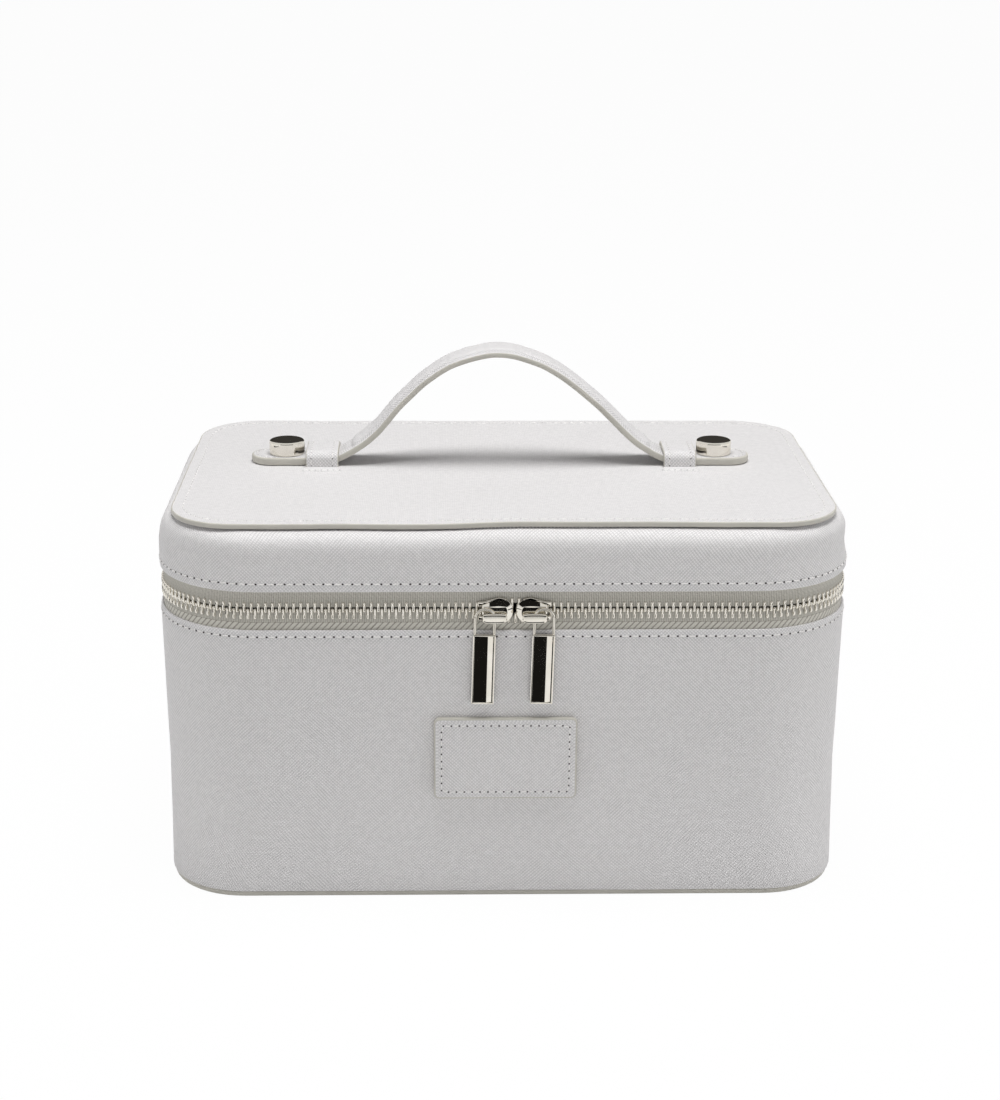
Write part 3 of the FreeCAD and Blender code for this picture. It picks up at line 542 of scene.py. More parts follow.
# %% Base leather
LIP = 0.62
WAVER = 0.22
FOOT_CORNER = 28.6
FOOT_ROUND = 0.9
TUCK = ((1.24, 7.8, 36.8), (2.0, 7.8, 36.0), (2.0, 0.4, 36.0), (2.3, 0.1, 35.7), (3.4, 0.1, 34.6),
        (3.45, 6.0, 34.5))


def waver(point):
    """How far glued leather stands off the true wall at one place."""
    return WAVER * (noise.noise(point * 0.021) + 0.5 * noise.noise(point * 0.05))


def wall_rows(steps):
    """Rows round the case from (inset, height, corner radius) steps, each point with its waver."""
    rows = []
    for inset, z, radius in steps:
        row = lift(outline(HALF_WIDTH - inset, HALF_DEPTH - inset, radius), z)
        outward = [Vector((point.x / HALF_WIDTH, point.y / HALF_DEPTH, 0)).normalized() for point in row]
        rows.append([point + waver(point) * out for point, out in zip(row, outward)])
    return rows


def folded_lip(edge, way):
    """Steps over the soft lip at an edge and down behind it; way is 1 where the wall comes up to the edge."""
    fold = [(LIP * (1 - math.cos(turn)), edge + way * (LIP * (math.sin(turn) - 1) - 0.02))
            for turn in even(0, math.pi, 8)]
    return ([(inset, z, WALL_CORNER - inset) for inset, z in fold]
            + [(inset, edge - way * depth, radius) for inset, depth, radius in TUCK])


def wall_leather(name, steps, body, node, fit=None):
    """The leather round one half of the case; fit shifts the points of each row."""
    skin = Skin(name)
    rows = wall_rows(steps)
    if fit:
        for row, (inset, z, _) in zip(rows, steps):
            fit(row, inset, z)
    heights = spaced([Vector(step[:2]) for step in steps], closed=False)
    skin.rows(rows, along=spaced(rows[15]), across=heights)
    return skin.finish([leather], body, (node,), "leather")


def base_leather():
    low = wall_low.z
    steps = [(DRAWN_IN + 1.6, low, 27.5), (DRAWN_IN + 0.5, low + 0.05, 28.3),
             (DRAWN_IN + 0.12, low + 0.35, 28.5), (DRAWN_IN, low + FOOT_ROUND, FOOT_CORNER)]
    for share in even(0, 1, 25)[1:-1]:
        height = low + FOOT_ROUND + share * (LIP_LOW - 1.9 - low)
        steps.append((DRAWN_IN * (1 - share), height,
                      FOOT_CORNER + (WALL_CORNER - FOOT_CORNER) * min(1.0, share * 2.5)))
    return wall_leather("base_leather", steps + folded_lip(LIP_LOW, 1), "base", "outer_wall")


base_leather()

# %% [markdown]
# ## The lid's leather
# The lid is covered the same way, upside down: a folded lip above the zip, a short wall that lies a
# little closer to its board on the right, and a soft shoulder that runs in under the flat top panel
# and turns more tightly along the front. The shoulder is a table of how far in and how far down
# each row lies. It follows the panel's front rim, which stands a little higher right of the middle.

# %% Lid leather
SHOULDER = ((0.0, 18.6), (0.0, 17.3), (0.0, 16.0), (0.0, 14.5), (0.03, 13.0), (0.1, 11.5), (0.22, 10.0),
            (0.42, 8.4), (0.68, 7.0), (1.15, 5.3), (1.75, 3.9), (2.4, 2.9), (3.1, 2.0), (3.9, 1.3),
            (4.8, 0.8), (5.7, 0.45), (6.6, 0.3), (14.0, 0.25))
SHOULDER_DEPTH = 9.0
DRAWN_RIGHT = 1.1
DRAWN_FROM, DRAWN_OVER = 0.08, 0.74
FRONT_FULL, FRONT_EDGE = 1.0, 4.9
FRONT_FROM, FRONT_OVER = 46.0, 28.0
RIM_STEP, RIM_FADE = 0.95, 200.0
RIM_FROM, RIM_OVER = -24.0, 32.0
RIM_NOISE = 0.25


def panel_lift(x, y):
    """How far the top panel's front rim and the shoulder below it stand above their true height."""
    step = ease((x - RIM_FROM) / RIM_OVER) * math.exp(-max(0.0, x) / RIM_FADE) if y < 0 else 0.0
    return RIM_NOISE * noise.noise(Vector((x, y, 3.0)) * 0.035) + RIM_STEP * step * min(1.0, -y / 60.0)


def fit_lid(row, inset, z):
    """Draw a row in on the right, lift it with the panel's rim and fill the front of the shoulder."""
    share = clamp((z - LIP_HIGH) / (lid_high.z - LIP_HIGH))
    closer = DRAWN_RIGHT * math.sin(math.pi * clamp((share - DRAWN_FROM) / DRAWN_OVER)) ** 2
    on_shoulder = lid_high.z - z < SHOULDER_DEPTH
    fuller = FRONT_FULL * math.sin(math.pi * min(inset, FRONT_EDGE) / FRONT_EDGE) if on_shoulder else 0.0
    for point in row:
        if point.x > 0:
            point.x *= 1 - closer / HALF_WIDTH
        point.z += share ** 3 * panel_lift(point.x, point.y)
        point.y -= fuller * ease((-point.y - FRONT_FROM) / FRONT_OVER)


def lid_leather():
    steps = folded_lip(LIP_HIGH, -1)[::-1]
    steps += [(inset, lid_high.z - depth, max(19.5, WALL_CORNER - 1.6 * inset)) for inset, depth in SHOULDER]
    return wall_leather("lid_leather", steps, "lid", "lid_cover", fit_lid)


lid_leather()

# %% [markdown]
# ## The top and bottom panels
# Both are the same leather on stiffening board, with raw edges that are sealed with several coats
# of edge paint. The paint rolls over the rim, so each rim is rounded: the strip of faces down the
# side is the paint and the flat face is leather. The front rim of the top panel isn't quite
# straight: a low noise and one small step in its height bring that back.

# %% Top and bottom panels
PAINT_ROLL = 0.4


def top_panel():
    high = panel_high.z
    steps = rounded(PAINT_ROLL, panel_low.z + 0.25, high)
    steps += [(PAINT_ROLL + 0.1, high), (1.4, high), (6.0, high), (16.0, high)]
    rows = []
    for inset, height in steps:
        row = lift(outline(panel_high.x - inset, panel_high.y - inset, 24.0 - inset), height)
        for point in row:
            point.z += max(0.0, 1 - inset / 16.0) * panel_lift(point.x, point.y)
        rows.append(row)
    skin = Skin("top_panel_leather")
    skin.closed_rows(rows, bands=[1] * (len(steps) - 4) + [0] * 3, along=spaced(rows[4]), smooth=True)
    for face in skin.mesh.faces:
        if face.material_index == 0:
            for loop in face.loops:
                loop[skin.grain].uv = loop.vert.co.xy
    return skin.finish(leather_set, "lid", ("top_panel",), "leather")


def painted_plate(name, loop, low, high, paint, roll):
    """A plate whose sides and rim are edge paint and whose faces are leather."""
    steps = rounded(roll, low, high) + [(paint, high), (paint + 0.5, high + 0.02)]
    skin = Skin(name)
    skin.plate(loop, steps, bands=[1] * (len(steps) - 2) + [0])
    return skin


top_panel()
bottom_loop = outline(bottom_high.x, bottom_high.y, 28.0)
painted_plate("bottom_panel_leather", bottom_loop, 0.0, bottom_high.z - 0.02, 1.0, 0.55).finish(
    leather_set, "base", ("bottom_panel",), "leather")

# %% [markdown]
# ## The patch on the front
# A small rectangle of leather is sewn on under the zip, where such a case often carries a label,
# and is left bare. It is the same kind of plate as the panels, stood up on the leaning front wall.

# %% Front patch
def upright(x, y, z, lean=0.0):
    """A matrix that stands a flat plate up on the front: its X stays X, its Y goes up, its Z faces -Y."""
    return Matrix.Translation((x, y, z)) @ Matrix.Rotation(lean + math.pi / 2, 4, "X")


patch_low, patch_high = box_mm("front_patch")
PATCH_Z = (patch_low.z + patch_high.z) / 2
PATCH_HALF_Z = (patch_high.z - patch_low.z) / 2
PATCH_LEAN = math.radians(0.8)
PATCH_THICK = 2.15
patch_wall = HALF_DEPTH - (LIP_LOW - PATCH_Z) * math.tan(PATCH_LEAN)
on_patch = upright(0, 0.05 - patch_wall, PATCH_Z, PATCH_LEAN)
patch_edge = small_outline(patch_high.x, PATCH_HALF_Z, 2.0)
painted_plate("front_patch_leather", patch_edge, 0.0, PATCH_THICK, 0.55, 0.45).finish(
    leather_set, "base", ("front_patch",), "leather", matrix=on_patch)

# %% [markdown]
# ## The zip tape
# Two woven tapes stand edge to edge behind the leather lips, with the teeth clamped to their edges.
# Where the two sliders meet, the rows are pushed apart, so the tape's edge gives way along a
# shallow arc. At the back the tape ends where the leather hinge strip begins.

# %% Zip tape
SPREAD = 1.55
REACH = 10.0
SPREAD_RADIUS = (REACH ** 2 + SPREAD ** 2) / (2 * SPREAD)
ZIP_END = 75.4
TAPE_FACES = (0.04, 0.76)
DIP_FADE = 5.0


def row_dip(x, y):
    """How far the sliders push a row away from the chain's middle line."""
    along = x - MEET_X
    if y > 0 or abs(along) >= REACH:
        return 0.0
    return SPREAD - SPREAD_RADIUS + math.sqrt(SPREAD_RADIUS ** 2 - along ** 2)


def open_run(inset, radius):
    """The zip's path from one end on the back round the front to the other end."""
    loop = outline(HALF_WIDTH - inset, HALF_DEPTH - inset, radius, straight=1.5, steps=20)
    back = HALF_DEPTH - inset - 0.01
    run = [point for point in loop if not (point.y > back and abs(point.x) < ZIP_END)]
    first = max(range(len(run)), key=lambda number: (run[number] - run[number - 1]).length)
    run = run[first:] + run[:first]
    return [Vector((-ZIP_END, run[0].y))] + run + [Vector((ZIP_END, run[-1].y))]


def zip_tape(name, way, edge, cloth, body, node):
    """A tape as a sheet down its front and up its back; edge is how far it starts from the middle."""
    outer = open_run(TAPE_INSET + TAPE_FACES[0], CORNER - TAPE_INSET)
    inner = open_run(TAPE_INSET + TAPE_FACES[1], CORNER - TAPE_INSET - 0.8)
    heights = [15.0, 9.0, 7.2, 6.0, 5.0, 4.0, 3.0, edge + 0.15, edge]

    def row(path, height):
        share = max(0.0, 1 - (height - edge) / DIP_FADE)
        return [Vector((*point, CHAIN_Z + way * (height + row_dip(*point) * share))) for point in path]

    rows = [row(outer, height) for height in heights] + [row(inner, height) for height in reversed(heights)]
    across = heights + [20 + height for height in reversed(heights)]
    skin = Skin(name)
    skin.rows(rows, along=spaced(outer), across=across, closed=False, flip=way > 0)
    return skin.finish([cloth], body, (node,), "zip_tape")


zip_tape("lower_tape_cloth", -1, 0.45, lower_cloth, "base", "zip_tape_lower")
zip_tape("upper_tape_cloth", 1, 1.2, upper_cloth, "lid", "zip_tape_upper")

# %% [markdown]
# ## The zip teeth
# Each tooth is a small cast bar that clamps the tape and ends in a rounded head. The heads of the
# two rows sit in the gaps between each other, so a closed chain shows a row of beads down its
# middle and a comb of bars on either side. One tooth is modelled with soft edges, because the
# bright line along each rounded bar makes metal read as metal, and it is repeated along the zip at
# the model's pitch.

# %% The path of the chain
PITCH = 2.46
CHAIN_RADIUS = CORNER - CHAIN_INSET
PATH_END = 78.0
BEND = math.pi * CHAIN_RADIUS / 2
CHAIN_LENGTH = 4 * (HALF_WIDTH - CORNER) + 4 * (HALF_DEPTH - CORNER) + 4 * BEND - 2 * PATH_END


def zip_point(distance):
    """The place and heading of the chain, measured along it from its left end on the back."""
    across = HALF_WIDTH - CORNER
    along = HALF_DEPTH - CORNER
    place = Vector((-PATH_END, along + CHAIN_RADIUS))
    heading = math.pi
    for straight in (across - PATH_END, 2 * along, 2 * across, 2 * along, across - PATH_END):
        ahead = Vector((math.cos(heading), math.sin(heading)))
        if distance <= straight:
            return *(place + distance * ahead), heading
        place += straight * ahead
        distance -= straight
        turn = min(distance, BEND) / CHAIN_RADIUS
        left = Vector((-ahead.y, ahead.x))
        place += CHAIN_RADIUS * (math.sin(turn) * ahead + (1 - math.cos(turn)) * left)
        heading += turn
        if distance <= BEND:
            return *place, heading
        distance -= BEND


print("the chain is", round(CHAIN_LENGTH), "mm long")

# %% Zip teeth
TOOTH = ((3.1, 0.30, 0.75), (3.0, 0.46, 1.0), (2.7, 0.53, 1.1), (1.2, 0.53, 1.12), (0.75, 0.50, 1.06),
         (0.35, 0.55, 1.02), (-0.3, 0.57, 0.98), (-0.6, 0.5, 0.86), (-0.78, 0.28, 0.5))


def soft_square(half_x, half_y, z):
    """Eight points of a square with soft corners."""
    return [Vector((half_x * bulged(math.cos(turn), 0.55), half_y * bulged(math.sin(turn), 0.55), z))
            for turn in (math.radians(22.5 + 45 * step) for step in range(8))]


def zip_teeth(name, way, body, node):
    """One row of teeth; TOOTH gives each ring's height, half width and half depth."""
    model = [soft_square(half_x, half_y, way * z) for z, half_x, half_y in TOOTH]
    start = PITCH / 2 if way < 0 else PITCH
    count = int((CHAIN_LENGTH - start - PITCH / 2) / PITCH) + 1
    skin = Skin(name)
    for number in range(count):
        x, y, angle = zip_point(start + number * PITCH)
        place = Matrix.Translation((x, y, CHAIN_Z + way * row_dip(x, y))) @ Matrix.Rotation(angle, 4, "Z")
        skin.closed_rows([[place @ point for point in ring] for ring in model], smooth=True, flip=way > 0)
    print(name, count, "teeth")
    return skin.finish([zip_nickel], body, (node,), "zip_metal")


zip_teeth("lower_teeth", -1, "base", "zip_teeth_lower")
zip_teeth("upper_teeth", 1, "lid", "zip_teeth_upper")

# %% [markdown]
# ## The leather hinge strip
# At the back a strip of the same leather joins base and lid. It is sewn in behind both lips and
# bends when the case is opened, so it is a sheet with many rows.

# %% Hinge strip
HINGE_TUCK = 7.5
HINGE_THICK = 0.7
HINGE_SWELL = 0.75


def hinge_strip():
    """A sheet behind both lips whose front face swells into the gap between them."""
    columns = even(0.15 - ZIP_END, ZIP_END - 0.15, 40)
    heights = even(LIP_LOW - HINGE_TUCK, LIP_HIGH + HINGE_TUCK, 30)

    def row(z, depth):
        swell = HINGE_SWELL * max(0.0, 1 - ((z - CHAIN_Z) / 6.6) ** 2)
        return [Vector((x, HALF_DEPTH - TAPE_INSET - 0.06 - depth + swell * (1 - depth), z)) for x in columns]

    skin = Skin("hinge_strip_leather")
    rows = [row(z, 0.0) for z in heights] + [row(z, HINGE_THICK) for z in reversed(heights)]
    skin.rows(rows, closed=False, flip=True)
    strip = skin.finish([leather], replaces=("back_hinge_strip",), slot="leather")
    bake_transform(strip)


hinge_strip()

# %% [markdown]
# ## Sliders
# A slider is two plates with a round nose that swallow the teeth, and on the front plate stands a
# bridge, the crown, that holds the pull's wire loop. From a straight ridge on each side of the
# crown a bevel falls to the outline, and it flashes dark and light as the case turns. So the front
# plate is built as rings from the outline in to the ridge, with a narrow ring beside each corner
# that keeps the bevels crisp under smooth shading.

# %% Sliders
SLIDER_Y = CHAIN_INSET - HALF_DEPTH
NOSE_GAP = 0.5
POST_FROM_NOSE = 9.9
CROWN_DROP = 1.9
CROWN_LEAN = -0.17
CROWN_X, CROWN_HALF_X, CROWN_HALF_Y = 6.55, 4.35, 1.65


def slider_loop(half, tail, fullness, end):
    """The outline seen from the front: a round nose at x = 0, tail to +X, anticlockwise."""
    flank = [Vector((half + (tail - half) * share, half + (end - half) * ease(share) ** fullness))
             for share in even(0, 1, 10)[1:]]
    return arc((half, 0), half, 90, 270, 24) + [Vector((p.x, -p.y)) for p in flank] + flank[::-1]


def ridge_of(point):
    return Vector((1.9 + point.x * 0.78, max(-1.9, min(1.9, point.y * 0.75))))


FRONT_RINGS = ((0.0, 0.5, 0.3), (0.0, 1.15, 0.0), (0.05, 1.32, 0.0), (0.10, 1.36, 0.0), (0.93, 2.24, 0.0),
               (1.0, 2.30, 0.0), (1.12, 2.31, 0.0))
FLANGE = ((2.4, 3.9), (5.0, 4.3), (9.0, 2.9), (10.2, 1.9), (12.4, 1.7), (12.4, 3.2), (12.0, 3.5), (10.6, 3.5),
          (8.2, 4.1), (5.0, 4.95), (2.9, 4.5))
CROWN_POSTS = ((3.6, 1.3), (POST_FROM_NOSE, 1.2))
CROWN_STEPS = ((0.3, 3.55), (0.0, 3.85), (0.0, 4.35), (0.1, 4.6), (0.35, 4.76), (0.8, 4.8))


def slider(word, way):
    """One slider: bevelled front plate, back plate, flanges and crown."""
    skin = Skin("slider_" + word + "_body")
    face = upright(0, 0, 0)
    front = slider_loop(4.9, 10.9, 0.75, 2.6)
    rows = []
    for share, height, inset in FRONT_RINGS:
        ring = [point.lerp(ridge_of(point), share) for point in front]
        rows.append([face @ point for point in lift(inset_loop(ring, inset) if inset else ring, height)])
    skin.closed_rows(rows, smooth=True)
    skin.plate(slider_loop(5.0, 12.3, 1.0, 3.5), rounded(0.3, -2.1, -1.2), place=face, smooth=True)
    for side in (-1, 1):
        flange = [Vector((x, side * y)) for x, y in FLANGE][::side]
        skin.plate(flange, [(0.0, 0.5), (0.0, 1.3), (0.12, 1.5), (0.4, 1.56)], place=face, smooth=True)
        skin.plate(flange, [(0.0, -1.25), (0.0, -0.5)], place=face)
    for x, radius in CROWN_POSTS:
        post = [point + Vector((x, -CROWN_DROP)) for point in circle(radius, 20)]
        skin.plate(post, [(0.0, 1.9), (0.0, 4.2)], place=face)
    bar = []
    for turn in (math.tau * (step + 0.5) / 36 for step in range(36)):
        up = math.sin(turn)
        bar.append(Vector((CROWN_X + CROWN_HALF_X * bulged(math.cos(turn), 0.45),
                           CROWN_HALF_Y * bulged(up, 0.35 if up > 0 else 0.8))))
    leaning = Matrix.Translation((0, -CROWN_DROP, 0))
    leaning[2][1] = CROWN_LEAN
    skin.plate(bar, CROWN_STEPS, place=face @ leaning, smooth=True)
    return skin.finish([nickel], "slider_" + word, ("slider_" + word,), "hardware", mirror=way < 0,
                       matrix=Matrix.Translation((way * MEET_X + NOSE_GAP, SLIDER_Y, CHAIN_Z)))


for side in SIDES:
    slider(*side)

# %% [markdown]
# ## Wire loops and pulls
# Each pull hangs by a loop of wire that runs behind the crown and over its post. Its plate has a
# raised rim round a shallow recess, whose polished floor is flat on the left and falls away on the
# right, so that one side mirrors the dark below the camera and the other the bright paper. The
# recess is bare. Neither pull hangs quite straight, so both are turned a little round their post.

# %% Wire loops and pulls
POST_Z = CHAIN_Z - CROWN_DROP
LOOP_Y = SLIDER_Y - 3.0
LOOP_HALF = 3.4
LOOP_FOOT = -6.6
LOOP_CREST = -0.35
WIRE_RADIUS = 0.52
PULL_LEAN = math.radians(1.5)
PLATE_HALF_X, PLATE_HALF_Y = 4.0, 13.0
PLATE_RIM = ((0.2, 0.0), (0.0, 0.2), (0.0, 1.26), (0.05, 1.34), (0.48, 1.5), (0.56, 1.48), (0.6, 1.0))
RECESS_FLOOR = ((-3.45, 1.18), (-2.9, 1.24), (-2.3, 1.25), (1.15, 1.25), (1.35, 1.23), (1.55, 1.18),
                (3.45, 0.74))


def tube(skin, path, radius):
    """A round wire along a path that stays in one upright plane."""
    rows = []
    for number, point in enumerate(path):
        ahead = (path[min(len(path) - 1, number + 1)] - path[max(0, number - 1)]).normalized()
        side = ahead.cross(Vector((0, 1, 0))).normalized()
        rows.append(hoop(point, radius * side, radius * side.cross(ahead), 12))
    skin.closed_rows(rows, flip=True)


def pull(word, way):
    """The wire loop on the crown's post and the plate that hangs from it."""
    place = Matrix.Translation((MEET_X + way * (NOSE_GAP + POST_FROM_NOSE), LOOP_Y, POST_Z))
    place = place @ Matrix.Rotation(PULL_LEAN, 4, "Y")
    side = [Vector((-LOOP_HALF, 0, z)) for z in even(LOOP_FOOT, LOOP_CREST, 6)[:-1]]
    bow = [Vector((point.x, 0, point.y)) for point in arc((0, LOOP_CREST), LOOP_HALF, 180, 0, 18)]
    wire = Skin("pull_" + word + "_loop")
    tube(wire, side + bow + [Vector((-point.x, 0, point.z)) for point in reversed(side)], WIRE_RADIUS)
    wire.finish([nickel], "pull_" + word, ("pull_bail_" + word,), "hardware", matrix=place)
    loop = small_outline(PLATE_HALF_X, PLATE_HALF_Y, 0.4, steps=4)
    plate = Skin("pull_" + word + "_plate")
    rim = [lift(inset_loop(loop, inset), height) for inset, height in PLATE_RIM]
    grid = plate.rows(rim, along=spaced(loop))
    plate.cap(grid[0], flip=True)
    plate.rows([[Vector((x, y, height)) for y in (-12.45, -6, 0, 6, 12.45)] for x, height in RECESS_FLOOR],
               closed=False, flip=True)
    hang = place @ upright(0, 0.75, LOOP_FOOT + 0.4 - PLATE_HALF_Y)
    return plate.finish([nickel], "pull_" + word, ("pull_plate_" + word,), "hardware", matrix=hang)


for side in SIDES:
    pull(*side)

# %% [markdown]
# ## The strap handle
# The handle is leather over a core, with painted edges. It is bent into an arch between two loops,
# called keepers, and its flat ends slide in them when it is pushed down. The arch is one section
# carried along a smooth line through the points below, and a low pad swells its outer face for the
# hand. Its two halves aren't quite alike, as on any bent strap. It is built as two halves that meet
# in the middle, as its feet stay at the lid while its crown is pressed.

# %% Handle arch
arch_low, arch_high = box_mm("handle_strap")
tip_low, tip_high = box_mm("strap_end_right")
keeper_low, keeper_high = box_mm("keeper_right")
stud_low, stud_high = box_mm("stud_right")
STRAP_Y = (arch_low.y + arch_high.y) / 2
STRAP_HALF = (arch_high.y - arch_low.y) / 2
STRAP_LOW = tip_low.z
STRAP_THICK = tip_high.z - tip_low.z
FEET = [(70, 141.0), (66, 141.4), (62, 142.3), (58.2, 144.1), (55.2, 145.9), (51, 148.7), (46.7, 152.5)]
UNDERSIDE = {"left": FEET + [(43.8, 155.7), (40.2, 160.2), (38.1, 162.7), (35.7, 165.2), (33.3, 167.5),
                             (30.9, 169.9), (28.3, 172.2), (25.2, 174.5), (21.8, 176.8), (17.7, 179.0),
                             (10.9, 181.3), (4.5, 182.69), (0, 182.81), (-4.0, 182.32)],
             "right": FEET + [(43.6, 155.6), (41.2, 158.1), (38.8, 160.5), (36.5, 162.8), (33.8, 165.2),
                              (31.1, 167.5), (28.4, 169.8), (25.3, 172.2), (22.3, 174.4), (18.5, 176.8),
                              (14.3, 179.0), (7.9, 181.3), (4.0, 182.32), (0, 182.81), (-4.5, 182.69)]}
PAD_START = 7.2
PAD_RISE = 1.4
FOOT_THICK, CROWN_THIN = 2.45, 0.45


def smooth_line(points):
    """A Catmull-Rom line through all points but the first and last."""
    line = []
    for a, b, c, d in zip(points, points[1:], points[2:], points[3:]):
        for share in even(0, 1, 5)[:-1]:
            line.append(0.5 * (2 * b + (c - a) * share + (2 * a - 5 * b + 4 * c - d) * share ** 2
                               + (3 * b - a - 3 * c + d) * share ** 3))
    return line + [points[-2]]


def strap_section(thick, pad):
    """(across, up, paint) round the strap's section, anticlockwise seen from its foot."""
    half = STRAP_HALF
    wide = half - 1.2 - 2.6 * (1 - pad)
    rise = pad * PAD_RISE
    right = [(half - 0.5, 0.0, 1), (half - 0.15, 0.12, 1), (half, 0.5, 1), (half, thick - 0.5, 1),
             (half - 0.15, thick - 0.12, 1), (half - 0.5, thick, 0), (wide, thick + 0.02, 0),
             (wide - 0.25, thick + 0.45 * rise, 0), (wide - 0.9, thick + 0.82 * rise, 0),
             (wide - 2.0, thick + 0.96 * rise, 0), (wide * 0.35, thick + rise, 0)]
    left = [(-across, up, paint) for (across, up, _), (_, _, paint) in
            zip(reversed(right), [right[-1]] + right[-2::-1])]
    return right + left + [(-half * 0.6, 0.0, 0), (0.0, 0.0, 0), (half * 0.6, 0.0, 0)]


def handle_arch(word, way):
    """One half of the arch, as rows from its foot under the keeper up to the middle."""
    points = [Vector((x, z)) for x, z in UNDERSIDE[word]]
    line = smooth_line(points)
    keeper_edge = min(range(len(line)), key=lambda number: abs(line[number].x - keeper_low.x))
    run = spaced(line, closed=False)
    rows = []
    for number, point in enumerate(line):
        ahead = (line[min(len(line) - 1, number + 1)] - line[max(0, number - 1)]).normalized()
        if number == len(line) - 1:
            ahead = (points[-1] - points[-3]).normalized()
        thick = FOOT_THICK - CROWN_THIN * (point.y - STRAP_LOW) / (arch_high.z - STRAP_LOW)
        along_pad = clamp((run[number] - run[keeper_edge] - PAD_START) / 3.0)
        section = strap_section(thick, math.sqrt(1 - (1 - along_pad) ** 2))
        rows.append([Vector((point.x + ahead.y * up, STRAP_Y + across, point.y - ahead.x * up))
                     for across, up, _ in section])
    columns = [paint for _, _, paint in strap_section(STRAP_THICK, 1.0)]
    skin = Skin("handle_arch_" + word)
    skin.rows(rows, across=run, columns=columns, flip=True)
    replaced = ("handle_strap",) if way > 0 else ()
    arch = skin.finish(handle_set, replaces=replaced, slot="leather", mirror=way < 0)
    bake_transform(arch)


for side in SIDES:
    handle_arch(*side)

# %% [markdown]
# ## Strap ends
# Each flat end runs through its keeper and carries a polished stud, which stops it from slipping
# out. Inside the keeper it stretches when the handle is pressed, where no one can see it, so the
# piece starts there.

# %% Strap ends
def strap_end(word, way):
    """A flat strap from inside the keeper to its round tip."""
    straight = tip_high.x - STRAP_HALF
    side = [Vector((x, -STRAP_HALF)) for x in even(tip_low.x + 0.02, straight, 14)[:-1]]
    tip = arc((straight, 0), STRAP_HALF, -90, 90, 24)
    loop = side + tip + [Vector((point.x, STRAP_HALF)) for point in reversed(side)]
    name = "strap_end_" + word
    skin = painted_plate(name + "_leather", loop, STRAP_LOW, STRAP_LOW + STRAP_THICK - 0.05, 0.75, 0.7)
    end = skin.finish(handle_set, replaces=(name,), slot="leather",
                      matrix=Matrix.Translation((0, STRAP_Y, 0)), mirror=way < 0)
    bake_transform(end)


for side in SIDES:
    strap_end(*side)

# %% [markdown]
# ## Keepers
# A keeper is a strip of leather that goes over the strap and turns out into two thin feet, each sewn
# down with a row of stitches. The strip's section is drawn once and pushed along X, with painted
# ends, and each foot is a thin plate that widens a little away from the strap.

# %% Keepers
KEEPER_THICK = 1.75
KEEPER_IN = STRAP_HALF + 0.3
KEEPER_OUT = KEEPER_IN + KEEPER_THICK
FOOT_REACH = 5.6
FOOT_FLARE = 1.4
KEEPER_BEND = 2.9


def keeper(word, way):
    """A strip over the strap, with painted ends, and its two feet."""
    low = keeper_low.z + 0.03
    top = keeper_high.z
    length = keeper_high.x - keeper_low.x
    roof = top - KEEPER_THICK
    right = [Vector((0.0, roof))] + arc((KEEPER_IN - 0.5, roof - 0.5), 0.5, 90, 0, 6)
    right += [Vector((KEEPER_IN, low)), Vector((KEEPER_OUT + 0.25, low)),
              Vector((KEEPER_OUT + 0.04, low + 0.5)), Vector((KEEPER_OUT, low + 1.0))]
    right += arc((KEEPER_OUT - KEEPER_BEND, top - KEEPER_BEND), KEEPER_BEND, 0, 90, 9)
    crest = [Vector((x, top)) for x in (5.0, 2.5, 0.0, -2.5, -5.0)]
    loop = right + crest + [Vector((-point.x, point.y)) for point in reversed(right[1:])]
    rim = [(0.3, 0.0), (0.1, 0.12), (0.0, 0.35)]
    steps = rim + [(0.0, z) for z in even(0, length, 5)[1:-1]]
    steps += [(inset, length - z) for inset, z in rim[::-1]]
    skin = Skin("keeper_" + word + "_leather")
    skin.closed_rows([lift(inset_loop(loop, inset), height) for inset, height in steps], along=spaced(loop),
                     bands=[1, 1] + [0] * (len(steps) - 5) + [1, 1], ends=(1, 1))
    skin.mesh.transform(Matrix(((0, 0, 1, keeper_low.x), (1, 0, 0, STRAP_Y), (0, 1, 0, 0), (0, 0, 0, 1))))
    for side in (-1, 1):
        near = STRAP_Y + side * (KEEPER_OUT - 0.5)
        far = near + side * (FOOT_REACH + 0.3)
        flare = [(-FOOT_FLARE, far - side * 0.5), (-FOOT_FLARE * 0.5, far)]
        foot = ([(0.0, near)] + flare + [(length / 2, far + side * 0.3)]
                + [(length - x, y) for x, y in flare[::-1]] + [(length, near)])
        foot = [Vector((keeper_low.x + x, y)) for x, y in foot][::side * -1]
        skin.plate(foot, [(0.0, low - 0.12), (0.05, low + 0.04), (0.22, low + 0.16), (0.4, low + 0.2)])
    return skin.finish(leather_set, "lid", ("keeper_" + word,), "leather", mirror=way < 0)


for side in SIDES:
    keeper(*side)

# %% [markdown]
# ## Studs
# The studs are turned discs, polished like a mirror. Their tops take the dark of the room and their
# sides the paper, and the soft rim turns from one to the other within a millimetre, so it gets rings
# close together.

# %% Studs
STUD_RIM = ((0.0, 0.75), (0.04, 0.5), (0.16, 0.3), (0.36, 0.14), (0.62, 0.04), (0.95, 0.0), (1.1, 0.0),
            (5.5, 0.0))


